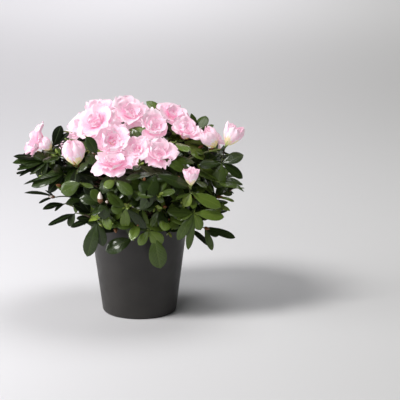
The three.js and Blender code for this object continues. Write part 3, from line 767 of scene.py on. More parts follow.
def deal_out_blooms(masses):
    """Gives each bloom to the mass in whose space its foot lies, and settles where its twig ends."""
    blooms = []
    for entry in BLOOMS:
        row = {"kind": "bloom", **entry}
        wanted = np.array(row["at"]) * MM
        axis = aim(*row["face"]) if "face" in row else facing(wanted)
        foot = wanted - axis * stalk_of(row)
        mass = nearest(masses, foot)
        bloom = bloom_on(pulled_inside(mass, foot, BLOOM_CLEARANCE), axis, row, len(blooms) + 1)
        blooms.append(bloom)
        mass.blooms.append(bloom)
    return blooms


def nearest(masses, point):
    return min(masses, key=lambda mass: distance(mass.centre, point))


def shoots_of(mass):
    """The shoots of a mass: one under each bloom, and a fan of leafy ones where there is room."""
    stream = Stream(mass.seed)
    shoots = [SimpleNamespace(tip=b.tip, axis=b.axis, bloom=b) for b in mass.blooms]
    for k in range(SHOOT_TRIALS):
        if len(shoots) >= mass.tier["shoots"]:
            break
        off = math.radians(FAN) * math.sqrt((k + 0.5) / SHOOT_TRIALS)
        direction = tilted(mass.direction, off, math.radians(GOLDEN_TURN * k + mass.turn))
        reach = crown_reach(direction) * (LEAST_REACH + SPREAD_OF_REACH * stream.draw())
        tip = outside_pot(pulled_inside(mass, HEART + direction * reach, SHOOT_CLEARANCE))
        if all(distance(s.tip, tip) > (BLOOM_ROOM if s.bloom else SHOOT_ROOM) for s in shoots):
            shoots.append(SimpleNamespace(tip=tip, axis=facing(tip), bloom=None))
    return shoots


# Meshes


def bearings(count):
    """Angles all round, evenly apart."""
    return TURN * np.arange(count) / count


def quads_over(grid, back=False):
    """Quads over a grid of points' numbers, facing one way or back."""
    a, b, c, d = grid[:-1, :-1], grid[1:, :-1], grid[1:, 1:], grid[:-1, 1:]
    return np.stack([a, d, c, b] if back else [a, b, c, d], 2).reshape(-1, 4)


class Sheaf:
    """Many small forms gathered to be joined as one mesh. Tints are places in its list of looks."""

    def __init__(self):
        self.parts = []
        self.count = 0

    def add(self, points, quads, quad_tints, tris=(), tri_tints=0, flat=None, rim=None):
        size = len(points)
        quads = np.asarray(quads, int).reshape(-1, 4) + self.count
        tris = np.asarray(tris, int).reshape(-1, 3) + self.count
        self.parts.append((
            points,
            np.zeros((size, 2)) if flat is None else flat,
            np.zeros(size, bool) if rim is None else rim,
            quads,
            tris,
            np.broadcast_to(quad_tints, len(quads)),
            np.broadcast_to(tri_tints, len(tris)),
        ))
        self.count += size

    def build(self, name, looks):
        """The joined mesh as an object, smooth apart from the rims of its sheets."""
        points, flat, rim, quads, tris, *tints = (np.concatenate(each) for each in zip(*self.parts))
        loops = np.concatenate([quads.ravel(), tris.ravel()])
        starts = np.concatenate([np.arange(len(quads)) * 4, quads.size + np.arange(len(tris)) * 3])
        mesh = bpy.data.meshes.new(name)
        mesh.vertices.add(len(points))
        mesh.vertices.foreach_set("co", points.ravel())
        mesh.loops.add(len(loops))
        mesh.loops.foreach_set("vertex_index", loops)
        mesh.polygons.add(len(starts))
        mesh.polygons.foreach_set("loop_start", starts)
        mesh.polygons.foreach_set("material_index", np.concatenate(tints))
        mesh.polygons.foreach_set("use_smooth", np.ones(len(starts), bool))
        mesh.update(calc_edges=True)
        mesh.uv_layers.new(name="flat").data.foreach_set("uv", flat[loops].ravel())
        ends = np.empty(len(mesh.edges) * 2, int)
        mesh.edges.foreach_get("vertices", ends)
        mesh.edges.foreach_set("use_edge_sharp", rim[ends.reshape(-1, 2)].all(axis=1))
        for look in looks:
            mesh.materials.append(look)
        mesh.validate()
        made = bpy.data.objects.new(name, mesh)
        bpy.context.scene.collection.objects.link(made)
        return made


def add_skin(sheaf, rings, ends, tints):
    """A closed form over rings of points, with a fan to a point at each end."""
    count, sides = rings.shape[:2]
    grid = np.arange(count * sides).reshape(count, sides)
    looped = np.concatenate([grid, grid[:, :1]], axis=1)
    fans = [np.stack([np.full(sides, grid.size), looped[0, 1:], grid[0]], 1),
            np.stack([np.full(sides, grid.size + 1), grid[-1], looped[-1, 1:]], 1)]
    tints = np.broadcast_to(tints, count - 1)
    sheaf.add(np.concatenate([rings.reshape(-1, 3), ends]), quads_over(looped, back=True),
              np.repeat(tints, sides), np.concatenate(fans), np.repeat(tints[[0, -1]], sides))


def tube(sheaf, points, radii, sides, tints, relief=None):
    """A closed limb of round section through points. Relief gives each ring's radii by bearing."""
    points = np.asarray(points, float)
    relief = np.ones((len(points), sides)) if relief is None else relief
    side = frame_about(unit(points[1] - points[0]))[0]
    angles = bearings(sides)
    rings = []
    for i, point in enumerate(points):
        along = unit(points[min(i + 1, len(points) - 1)] - points[max(i - 1, 0)])
        side = square(side, along)
        swell = radii[i] * relief[i]
        rings.append(point + np.outer(swell * np.cos(angles), side)
                     + np.outer(swell * np.sin(angles), np.cross(along, side)))
    add_skin(sheaf, np.array(rings), points[[0, -1]], tints)


def shaft(sheaf, start, way, form, thickness, sides, tints):
    """A straight tube along a way, as thick as a form says at shares of the way."""
    tube(sheaf, [start + way * share for share, _ in form], [size * thickness for _, size in form],
         sides, tints)


def turned(sheaf, profile, segments, relief=None):
    """A closed form turned about the Z axis from a profile that starts and ends on the axis."""
    a = bearings(segments)
    out, height = np.array(profile[1:-1]).T[:, :, None]
    rings = np.stack([out * np.cos(a), out * np.sin(a), height + 0 * a], axis=2)
    if relief:
        rings[:, :, 2] += relief(rings)
    add_skin(sheaf, rings, [[0, 0, profile[0][1]], [0, 0, profile[-1][1]]], 0)


# Materials


def new_material(name, colour, roughness, **sockets):
    """A plain shader with constant values on its sockets, which the keywords name."""
    made = bpy.data.materials.new(name)
    made.use_nodes = True
    sockets.update(Base_Color=(*colour, 1), Roughness=roughness)
    for socket, value in sockets.items():
        shader_of(made).inputs[socket.replace("_", " ")].default_value = value
    return made


def shader_of(made):
    return made.node_tree.nodes["Principled BSDF"]


def node(made, kind, inputs, **settings):
    """A node's outputs. Its inputs are other nodes' outputs, which are linked, or plain values."""
    new = made.node_tree.nodes.new(kind)
    for key, value in settings.items():
        setattr(new, key, value)
    for socket, source in inputs.items():
        if isinstance(source, bpy.types.NodeSocket):
            made.node_tree.links.new(source, new.inputs[socket])
        else:
            new.inputs[socket].default_value = source
    return new.outputs


def drive(made, socket, source):
    made.node_tree.links.new(source, shader_of(made).inputs[socket])


def maths(made, operation, *values):
    return node(made, "ShaderNodeMath", dict(enumerate(values)), operation=operation)[0]


def object_place(made):
    return node(made, "ShaderNodeTexCoord", {})["Object"]


def grain(made, scale, detail=4.0, roughness=0.55):
    """A noise output: its scale in repeats a metre, its detail and its roughness."""
    inputs = {"Vector": object_place(made), "Scale": scale, "Detail": detail, "Roughness": roughness}
    return node(made, "ShaderNodeTexNoise", inputs)["Fac"]


def add_relief(made, height, strength, depth):
    inputs = {"Height": height, "Strength": strength, "Distance": depth}
    drive(made, "Normal", node(made, "ShaderNodeBump", inputs)["Normal"])


def add_gloss(made, source, low, high):
    """Varies a material's roughness between two limits by a noise output."""
    inputs = {"Value": source, "To Min": low, "To Max": high}
    inputs.update(zip(("From Min", "From Max"), NOISE_BAND))
    drive(made, "Roughness", node(made, "ShaderNodeMapRange", inputs)["Result"])


def add_tones(made, source, first, last, band=NOISE_BAND):
    """Colours a material between two tones, over a band of another output's values."""
    ramp = made.node_tree.nodes.new("ShaderNodeValToRGB")
    for stop, position, tone in zip(ramp.color_ramp.elements, band, (first, last)):
        stop.position = position
        stop.color = (*tone, 1)
    made.node_tree.links.new(source, ramp.inputs["Fac"])
    drive(made, "Base Color", ramp.outputs["Color"])


def skin(name, colour, roughness, shine, relief, tones=None, gloss=None, **sockets):
    """A skin with a relief, and where it has them with its own tones and gloss."""
    made = new_material(name, colour, roughness, Specular_IOR_Level=shine, **sockets)
    for add, values in ((add_relief, relief), (add_tones, tones), (add_gloss, gloss)):
        if values:
            add(made, grain(made, *values[0]), *values[1:])
    return made


def leaf_material(name, colour):
    """Leaf skin: one plain colour, with slanting side veins and a fine pebbled gloss."""
    matt = name in MATT_LEAVES
    roughness = MATT_ROUGHNESS if matt else LEAF_ROUGHNESS
    made = new_material(name, colour, roughness, **(MATT if matt else GLOSSY))
    flat = node(made, "ShaderNodeUVMap", {}, uv_map="flat")["UV"]
    at = node(made, "ShaderNodeSeparateXYZ", {"Vector": flat})
    away = maths(made, "ABSOLUTE", maths(made, "SUBTRACT", at["Y"], 0.5))
    slant = maths(made, "MULTIPLY", away, -VEIN_SLANT)
    wave = maths(made, "PINGPONG", maths(made, "MULTIPLY_ADD", at["X"], VEINS_ALONG, slant), 0.5)
    add_relief(made, maths(made, "ADD", wave, grain(made, *PEBBLES)), *VEIN_RELIEF)
    add_gloss(made, grain(made, *LEAF_GLOSS), *(roughness + off for off in GLOSS_LIMITS))
    return made


def petal_material(name, colour):
    """Petal skin: one plain colour with fine crinkles, and painted light: each petal emits a faint light
    of its own pink, which stands in for light coming through it.
    """
    glow = [full * own / most for full, own, most in zip(PAINTED_GLOW_COLOUR, colour, PETAL_TINTS[PALEST])]
    return skin(name, colour, **PETAL_SKIN, Emission_Color=(*glow, 1), Emission_Strength=PAINTED_GLOW_STRENGTH)


# Leaves


def leaf_half_width(u):
    """Share of the full half width at a share of the length: a stalk, a wedge and a round end."""
    blade = np.clip((u - LEAF_STALK) / (1 - LEAF_STALK), 0, 1)
    crest = LEAF_WEDGE / (LEAF_WEDGE + LEAF_ROUND)
    peak = crest**LEAF_WEDGE * (1 - crest) ** LEAF_ROUND
    return np.maximum(blade**LEAF_WEDGE * (1 - blade) ** LEAF_ROUND / peak, LEAF_STALK_WIDTH)


def leaf_template():
    """Faces of one leaf: a grid for its upper side, and an underside that shares its rim.
    A face's part is 0 on the blade, 1 on the rib and 2 on the underside."""
    rows, columns = len(LEAF_STATIONS), len(LEAF_COLUMNS)
    grid = np.arange(rows * columns).reshape(rows, columns)
    keel = grid.size + np.arange(rows)
    tip = grid.size + rows
    first, last, foot, end = grid[:, 0], grid[:, -1], grid[0], grid[-1]
    under = quads_over(np.stack([first, keel, last], 1), back=True)
    strip = np.where(np.arange(columns - 1) == RIB_COLUMN, 1, 0)
    tris = np.concatenate([
        np.stack([end[:-1], np.full(columns - 1, tip), end[1:]], 1),
        np.stack([foot[:-1], foot[1:], np.full(columns - 1, keel[0])], 1),
        [[end[0], keel[-1], tip], [keel[-1], end[-1], tip]],
    ])
    stations = LEAF_STATIONS[:, None]
    flat = np.stack(np.broadcast_arrays(stations, 0.5 + 0.5 * LEAF_COLUMNS), 2).reshape(-1, 2)
    return SimpleNamespace(
        quads=np.concatenate([quads_over(grid), under]),
        quad_parts=np.concatenate([np.tile(strip, rows - 1), np.full(len(under), 2)]),
        tris=tris,
        tri_parts=np.concatenate([strip, np.full(columns + 1, 2)]),
        flat=np.concatenate([flat, np.hstack([stations, 0.5 + 0 * stations]), [[1, 0.5]]]),
        rim=np.isin(np.arange(tip + 1), [*first, *last, tip]),
    )


LEAF = leaf_template()


def leaf_points(leaf):
    """All the points of one leaf, bent along its length, folded at its rib and rolled at its edges."""
    u, s = LEAF_STATIONS[:, None], LEAF_COLUMNS
    half = leaf_half_width(u) * leaf.width / 2

    def spine(share):
        bend = leaf.curl * share
        run = np.sin(bend) / leaf.curl * leaf.length
        drop = (1 - np.cos(bend)) / leaf.curl * leaf.length
        return (leaf.root + run * leaf.along - drop * leaf.face,
                np.sin(bend) * leaf.along + np.cos(bend) * leaf.face)

    at, out = spine(u)
    turn = leaf.twist * u
    aside = s * half
    wave = leaf.wave * np.sin(TURN * (WAVES_ALONG * u + WAVES_ACROSS * s + leaf.phase)) * np.abs(s) ** 2
    lift = half * (leaf.keel * np.abs(s) - LEAF_ROLL * np.abs(s) ** 3 + wave)
    sideways = aside * np.cos(turn) - lift * np.sin(turn)
    upward = aside * np.sin(turn) + lift * np.cos(turn)
    top = at[:, None] + sideways[:, :, None] * leaf.across + upward[:, :, None] * out[:, None]
    below = at - out * (LEAF_THICKNESS[0] + (LEAF_THICKNESS[1] - LEAF_THICKNESS[0]) * u)
    return np.concatenate([top.reshape(-1, 3), below, spine(np.array([[LEAF_TIP]]))[0]])


def add_leaf(sheaf, leaf):
    """Adds a leaf to a sheaf, in its own tints for blade, rib and underside."""
    tints = np.array([LEAF_PLACES[name] for name in leaf.tints])
    sheaf.add(leaf_points(leaf), LEAF.quads, tints[LEAF.quad_parts], LEAF.tris, tints[LEAF.tri_parts],
              LEAF.flat, LEAF.rim)


class Room:
    """The space that is taken, as small cells, with what leaves keep out of."""

    def __init__(self, blooms):
        self.cells = Counter()
        self.view = {}
        self.blooms = blooms

    def fill(self, points):
        self.cells.update(cells_of(points))

    def crowding(self, points):
        return sum(self.cells[cell] for cell in cells_of(points))

    def barred(self, points):
        """Whether any point lies outside the plant's reach, in the pot or in a bloom."""
        if (points < cad_low + BOX_CLEARANCE).any() or (points > cad_high - BOX_CLEARANCE).any():
            return True
        out, height = np.hypot(points[:, 0], points[:, 1]), points[:, 2]
        if ((height < POT_HEIGHT + POT_CLEARANCE) & (out < wall_radius(height) + POT_CLEARANCE)).any():
            return True
        for bloom in self.blooms:
            away = points - bloom.centre
            height = away @ bloom.axis
            across = np.sqrt(np.maximum((away**2).sum(axis=1) - height**2, 0))
            most = BLOOM_KEEP_OUT * bloom.radius
            if ((height > bloom.form.low * bloom.radius) & (height < most) & (across < most)).any():
                return True
        return False

    @staticmethod
    def seen_at(points):
        """Where points show from the front, as a cell of the view, and how far back they are."""
        return zip(cells_of(np.stack([points[:, 0], shown_height(points)], 1)), points[:, 1])

    def show(self, points):
        for cell, back in self.seen_at(points):
            self.view[cell] = min(back, self.view.get(cell, back))

    def shading(self, points):
        """Whether any point stands too high on the left, or hides a leaf or bloom that shows."""
        if (points[:, 2] > lid_at(points)).any():
            return True
        if any(back < self.view.get(cell, back) - HIDING for cell, back in self.seen_at(points)):
            return True
        for bloom in self.blooms:
            away = points - bloom.centre
            off = np.hypot(away[:, 0] / bloom.radius, shown_height(away) / bloom.half)
            if bloom.centre[1] <= FRONT_LIMIT and ((away[:, 1] < 0) & (off < VIEW_SHARE)).any():
                return True
        return False


def cells_of(points):
    return map(tuple, np.floor(points / CELL).astype(int).tolist())


def shown_height(points):
    """How high points show from the front, from where the view looks down a little."""
    return points[:, 2] + VIEW_SLOPE * points[:, 1]


def below_hem(points):
    """Which points show lower from the front than the crown's hem, which climbs on the left."""
    return shown_height(points) < np.interp(points[:, 0], HEM_ACROSS, HEM)


def lid_at(points):
    """How high leaves stand: the crown is low on the left, where sky shows over the whorls."""
    return np.interp(points[:, 0], LID_REACH, LID) - LID_FALL * points[:, 1]


def new_leaf(root, along, face, length, width, **bends):
    return SimpleNamespace(root=root, along=along, face=face, across=np.cross(face, along),
                           length=length, width=width, **bends)


def add_small_leaf(sheaves, form, holder, spin, lean, length, width, top, under):
    """A young leaf or a scale, which stands round the end of the spray or bloom that holds it."""
    out = bearing(holder.axis, spin)
    along = unit(holder.axis + out * lean)
    face = square(holder.axis * form.upward - out * form.inward, along)
    leaf = new_leaf(holder.tip + out * form.off, along, face, length, width, curl=form.curl, twist=0,
                    keel=LEAF_KEEL, wave=0, phase=0, tints=(top, top, under))
    add_leaf(sheaves["young_leaves"], leaf)


def on_leaf(leaf, samples):
    """Places spread over a leaf, to test it with before it is made."""
    return np.array([
        leaf.root + leaf.along * (u * leaf.length) + leaf.across * (s * leaf.width / 2)
        - leaf.face * (LEAF_SAG * leaf.length * u * u)
        for u, s in samples
    ])


def dressed(leaf, stream, tone):
    """Gives a leaf its tints and its own small bends."""
    shades = SPRAY_TONES[tone]
    top = shades[0] if stream.draw() < USUAL_SHARE else shades[1 + int(stream.draw() * 2)]
    # Leaves of deep sprays get the dull tint underneath, painted shade in place of the paler underside.
    leaf.tints = (top, RIB_OF.get(top, "rib_bright"), "leaf_dull_and_shade" if tone == "deep" else "leaf_under")
    leaf.twist = stream.between(-LEAF_TWIST, LEAF_TWIST)
    leaf.keel = LEAF_KEEL * stream.between(*LEAF_KEELS)
    leaf.wave = stream.between(*LEAF_WAVE)
    leaf.phase = stream.draw()
    return leaf


def shown_leaf(room, stream, root, row, tone):
    """A leaf from a whorl's middle to where its tip shows, with its face turned to the front."""
    chord = np.array(row[:3]) * MM - root
    reach = norm(chord)
    chord = chord / reach
    normal = square(aim(0, row[4]), chord)
    half = 0.5 * stream.between(*SHOWN_CURL)
    along = chord * math.cos(half) + normal * math.sin(half)
    face = normal * math.cos(half) - chord * math.sin(half)
    leaf = new_leaf(root, along, face, reach * half / math.sin(half), row[3] * MM, curl=2 * half)
    room.fill(on_leaf(leaf, LEAF_SAMPLES))
    room.show(on_leaf(leaf, SHOWN_SAMPLES))
    return dressed(leaf, stream, tone)


def settled_leaf(room, stream, root, axis, spin, pitch, size, tone, droop):
    """A leaf that grows from a place on a shoot, in the first turn and pitch that is free, or else in
    the least crowded one. There is none where all of them are barred."""
    best, least = None, CROWD_LIMIT + 1
    hangs = stream.draw() < HANG_SHARE
    for spin_off, pitch_off, share in LEAF_TRIES:
        angle = math.radians(min(max(pitch + pitch_off, PITCH_LIMITS[0]), PITCH_LIMITS[1]))
        along = unit(tilted(axis, angle, spin + spin_off) - UP * droop)
        sky = axis * (1 - SKYWARD) + UP * SKYWARD
        if norm(sky - along * (sky @ along)) < LEAST_FACE:
            continue
        leaf = new_leaf(root, along, square(sky, along), LEAF_LENGTH * size * share,
                        LEAF_WIDTH * size * share)
        points = on_leaf(leaf, LEAF_SAMPLES)
        if room.barred(points) or room.shading(points) or (below_hem(points).any() and not hangs):
            continue
        crowd = room.crowding(points)
        if crowd < least:
            best, least = leaf, crowd
        if crowd == 0:
            break
    if not best:
        return None
    room.fill(on_leaf(best, LEAF_SAMPLES))
    best.curl = stream.between(*LEAF_CURL)
    best.width *= stream.between(*LEAF_WIDTHS)
    return dressed(best, stream, tone)


# Growth


def new_spray(rank, mass, root, by, tip, axis, seed, bloom=None):
    """A spray at the end of a twig that bows from a root on the wood that carries it."""
    way = bow(root, by, tip - axis * BEAD_LENGTH / rank.part, TWIG_STEPS // rank.part)
    return SimpleNamespace(rank=rank, mass=mass, tip=tip, axis=axis, seed=seed, bloom=bloom,
                           way=np.concatenate([way, [tip]]), piece=f"leaves_{mass.tier['name']}")


def finer_spray(mass, root, tip, axis, seed, bloom=None):
    return new_spray(FINER, mass, root, arched(root, tip, TWIG_ARCH / 2), tip, axis, seed, bloom)


def main_sprays(masses):
    """The sprays that the solids have: a twig from each mass's stem to each of its shoots."""
    sprays = []
    for mass in masses:
        start = mass.hub + mass.bough_end * GAP
        stem = mass.bough_end * STEM_LENGTH
        shoots = shoots_of(mass)
        for i, shoot in enumerate(shoots):
            root = start + stem * (i + 1) / (len(shoots) + 1)
            by = pulled_inside(mass, arched(root, shoot.tip, TWIG_ARCH), TWIG_CLEARANCE)
            sprays.append(new_spray(MAIN, mass, root, by, shoot.tip, shoot.axis, mass.seed * 100 + i,
                                    shoot.bloom))
    return sprays


def cut_back(spray):
    """A spray, shortened if it hangs lower than the hem on the left, where sky shows below."""
    low = below_hem(spray.way) & (spray.way[:, 0] < HEM_OPEN)
    if low[-1] and not spray.bloom:
        spray.way = spray.way[: max(int(np.argmax(low)), LEAST_POINTS)]
        spray.tip = spray.way[-1]
        spray.axis = facing(spray.tip)
    return spray


def shown_sprays(masses, sprays):
    """The sprays that the front shows, each on a twig from the nearest of the main ones."""
    grown = []
    for i, row in enumerate(SHOWN_SPRAYS):
        tip = np.array(row["at"]) * MM
        axis = aim(*WHITE_BUD_FACE) if row.get("heart") == "white" else facing(tip)
        bud = None
        if "bud" in row:
            axis = aim(*row["bud"]["face"])
            bud = bloom_on(tip, axis, dict(kind="bud", bare=True, **row["bud"]), SHOWN_BUD_SEED + i)
        if "fork" in row:
            root = np.array(row["fork"]) * MM
        else:
            places = (place for spray in sprays for place in spray.way[2:-1])
            root = min((place for place in places if distance(place, tip) > SHOWN_TWIG),
                       key=lambda place: distance(place, tip))
        spray = finer_spray(nearest(masses, tip), root, tip, axis, SHOWN_SEED + i, bud)
        spray.row = row
        grown.append(spray)
    return grown


def place_on(way, share):
    """The place at a share of a twig's length, and the way the twig heads there."""
    at = share * (len(way) - 2)
    i = int(at)
    step = way[i + 1] - way[i]
    return way[i] + step * (at - i), unit(step)


def side_tip(spray, stream, root, along, spin):
    """Where a finer twig may end, and the way it grows."""
    way = unit(tilted(along, math.radians(SIDE_ANGLE), spin) + unit(root - HEART) * SIDE_OUTWARD)
    tip = root + way * SIDE_LENGTH * stream.between(*SIDE_LENGTHS)
    tip = outside_pot(pulled_inside(spray.mass, tip, SIDE_CLEARANCE))
    out = tip - HEART
    most = crown_reach(unit(out)) * SIDE_REACH
    return HEART + unit(out) * most if norm(out) > most else tip, way


def side_sprays(sprays, shown, blooms):
    """Finer twigs by the same rule, which leave the main ones along their outer halves."""
    grown = []
    tips = [spray.tip for spray in sprays + shown]
    for spray in sprays:
        stream = Stream(spray.seed * 7 + 3)
        start = stream.draw() * 360
        for k, share in enumerate(SIDE_SHARES):
            root, along = place_on(spray.way, share)
            for attempt in range(SIDE_TRIES):
                spin = math.radians(start + GOLDEN_TURN * (k + attempt * len(SIDE_SHARES)))
                tip, way = side_tip(spray, stream, root, along, spin)
                if (distance(tip, root) >= SIDE_LENGTH * SIDE_LEAST
                        and all(distance(tip, other) >= SIDE_ROOM for other in tips)
                        and all(distance(tip, b.centre) >= b.radius + SIDE_BLOOM_ROOM for b in blooms)):
                    seed = spray.seed * 10 + k
                    grown.append(finer_spray(spray.mass, root, tip, unit(way + facing(tip)), seed))
                    tips.append(tip)
                    break
    return grown


def kept_back(spray, room, stream):
    """Whether a side spray is left out, to keep the crown open or what the front shows in view."""
    return stream.draw() < OPEN_SHARE or out_of_place(spray, room)


def out_of_place(spray, room):
    """Whether a spray's end shows below the hem, or stands in the way of what shows."""
    tip = spray.tip[None]
    return below_hem(tip)[0] or room.shading(tip)


def tone_of(spray, stream):
    """Inner sprays are deep green and those on the left dark, as painted shade; those on the right are
    bright, as painted light. The others are mixed.
    """
    pick = stream.draw()
    out = spray.tip - HEART
    if norm(out) / crown_reach(unit(out)) < INNER_DEPTH:
        part = "inner"
    elif out[0] < LEFT_FROM:
        part = "left"
    elif out[0] > RIGHT_FROM:
        part = "right"
    else:
        part = "low" if out[2] < LOW_FROM else "other"
    return next(tone for share, tone in TONES_OF[part] if pick < share)


def grow_shown(spray, room, sheaves):
    """The leaves of a spray that the front shows, and what sits in its middle."""
    stream = Stream(spray.seed * 13 + 5)
    for row in spray.row["leaves"]:
        add_leaf(sheaves[spray.piece], shown_leaf(room, stream, spray.tip, row, spray.row["tone"]))
    if "heart" in spray.row:
        add_heart(sheaves, spray, spray.row["heart"], stream.draw() * TURN)


def grow_whorl(spray, room, sheaves):
    """A spray's leaves: a whorl at its tip, a few lower down, and what sits in the whorl's middle."""
    if spray.bloom and spray.bloom.bare:
        return
    rank = spray.rank
    stream = Stream(spray.seed * 13 + 5)
    tone = tone_of(spray, stream)
    start = stream.draw() * TURN
    count = rank.leaves + int(stream.draw() * 2)
    rise = np.interp(abs(spray.tip[0]), RISE_REACH, WHORL_RISE)
    axis = spray.axis if spray.bloom else unit(spray.axis * (1 - rise) + UP * rise)
    own = stream.between(*rank.sizes)
    usual = LEAF_PITCH + (PITCH_UNDER_BLOOM if spray.bloom else 0)
    leaves = []
    for k in range(count):
        spin = start + TURN * (k + SPIN_SPREAD * (stream.draw() - 0.5)) / count
        pitch = usual + PITCH_SPREAD * (stream.draw() - 0.5)
        size = own * stream.between(*LEAF_SIZES)
        root = spray.tip - spray.axis * BEAD_LENGTH * stream.between(*ROOT_SHARES)
        root = root + bearing(axis, spin) * TWIG_TIP_RADIUS * ROOT_OUT
        leaves.append(settled_leaf(room, stream, root, axis, spin, pitch, size, tone, DROOP))
    for k in range(rank.lower):
        share = LOWER_FROM + LOWER_OVER * (k + stream.draw()) / rank.lower
        root, along = place_on(spray.way, share)
        spin = start + math.radians(GOLDEN_TURN * (k + 1))
        size = stream.between(*LOWER_SIZES)
        leaves.append(settled_leaf(room, stream, root, along, spin, LEAF_PITCH + PITCH_LOWER, size, tone,
                                   LOWER_DROOP))
    for leaf in filter(None, leaves):
        add_leaf(sheaves[spray.piece], leaf)
    if not (spray.bloom or out_of_place(spray, room)):
        add_heart(sheaves, spray, "bud" if stream.draw() < BUD_SHARE else "young", start)


def add_twig(sheaf, spray):
    """A spray's twig, brown where it starts and green at its end."""
    steps = len(spray.way) - 1
    radii = np.linspace(TWIG_RADIUS, TWIG_TIP_RADIUS, steps + 1) * spray.rank.thickness
    shares = np.arange(steps) / steps
    brown, olive, green = (TWIG_PLACES[name] for name in ("twig_brown", "twig_olive", "twig_green"))
    tints = np.where(shares < BROWN_TO, brown, np.where(shares < OLIVE_TO, olive, green))
    if spray.bloom and spray.bloom.bare:
        tints[shares > STALK_FROM] = TWIG_PLACES["stalk_green"]
    tube(sheaf, spray.way, radii, TWIG_SIDES, tints)


def add_heart(sheaves, spray, kind, start):
    """What sits in the middle of a whorl: a plump bud in rusty scales, or young leaves."""
    stream = Stream(spray.seed * 17 + 9)
    if kind == "young":
        for k in range(spray.rank.young):
            spin = start + math.radians(GOLDEN_TURN) * k
            lean = stream.between(*YOUNG_LEANS)
            length = stream.between(*YOUNG_LENGTHS) * MM
            top = "leaf_young" if stream.draw() < YOUNG_SHARE else "leaf_fresh"
            add_small_leaf(sheaves, YOUNG_LEAF, spray, spin, lean, length, length * YOUNG_WIDTH, top, top)
        return
    length = WHITE_BUD_LENGTH if kind == "white" else stream.between(*BUD_SIZES) * MM
    white = kind == "white" or stream.draw() < WHITE_SHARE
    names = ["bud_brown", "bud_rust"] + ["bud_white" if white else "bud_rust"] * 3
    shaft(sheaves["twigs"], spray.tip, spray.axis * length, BUD_FORM, length * BUD_THICKNESS, SMALL_SIDES,
          [TWIG_PLACES[name] for name in names])
    for spin in start + bearings(BUD_SCALES):
        add_small_leaf(sheaves, BUD_SCALE, spray, spin, SCALE_LEAN, length * SCALE_LENGTH, SCALE_WIDTH,
                       *RUSTY)


# Blooms


def petal_width(t):
    """Share of a petal's full width at a share of its length: a claw, then a broad round blade."""
    claw = CLAW_WIDTH + (1 - CLAW_WIDTH) * np.clip(t / PETAL_WIDEST, 0, 1) ** CLAW_ROUND
    end = (np.clip(t - PETAL_WIDEST, 0, 1) / PETAL_END) ** PETAL_END_ROUND
    return claw * np.sqrt(np.clip(1 - end, 0, 1))


def add_sheet(sheaf, top, inner_tints, outer_tints):
    """A thin closed sheet from a grid of points, with its second side a little below the first."""
    rows, columns = top.shape[:2]
    normal = np.cross(np.gradient(top, axis=0), np.gradient(top, axis=1))
    normal /= np.maximum(np.linalg.norm(normal, axis=2, keepdims=True), 1e-12)
    below = (top - normal * PETAL_THICKNESS)[1:-1, 1:-1]
    grid = np.arange(rows * columns).reshape(rows, columns)
    under = grid.copy()
    under[1:-1, 1:-1] = grid.size + np.arange(below[:, :, 0].size).reshape(below.shape[:2])
    points = np.concatenate([top.reshape(-1, 3), below.reshape(-1, 3)])
    inside = np.isin(np.arange(len(points)), [grid[1:-1, 1:-1], under[1:-1, 1:-1]])
    sheaf.add(points, np.concatenate([quads_over(grid), quads_over(under, back=True)]),
              np.concatenate([inner_tints.ravel(), outer_tints.ravel()]), rim=~inside)


def pink_tints(pink, t, change):
    """The pinks' places in the list of looks, from the deepest to the palest along a petal."""
    level = np.clip(np.floor(pink.start + pink.paling * t + change), 0, PINKS - 1)
    return PETAL_PLACES["petal_0"] + level.astype(int)


def petal_tints(stream, flush, cream):
    """Tints of a petal's faces: yellow at the claw, deeper pink low down, paler to its edges."""
    rows, columns = PETAL_ROWS - 1, PETAL_COLUMNS - 1
    t = (np.arange(rows) + 0.5)[:, None] / rows
    s = np.abs((np.arange(columns) + 0.5)[None, :] / columns * 2 - 1)
    dither = np.array([[stream.draw() - 0.5 for _ in range(columns)] for _ in range(rows)])
    own = stream.between(-OWN_PINK, OWN_PINK) + DITHER * dither
    streak = np.exp(-((s / STREAK_WIDTH) ** 2)) * (1 - t)
    change = EDGE_PALING * s**4 * t - INNER_PINK.flush * flush - STREAK_PINK * streak + own
    inner = pink_tints(INNER_PINK, t**PALING_ROUND, change)
    inner[np.broadcast_to(t < HEART_SHARE, inner.shape)] = PETAL_PLACES["petal_heart"]
    outer = pink_tints(OUTER_PINK, t, own - OUTER_PINK.flush * flush)
    tongue = t + TONGUE_ROUND * s**2 + TONGUE_DITHER * dither
    for limit, name in ((cream, PALEST), (cream - CREAM_BAND, "petal_cream"), (LIME_SHARE, "petal_lime")):
        outer[tongue < limit] = PETAL_PLACES[name]
    return inner, outer


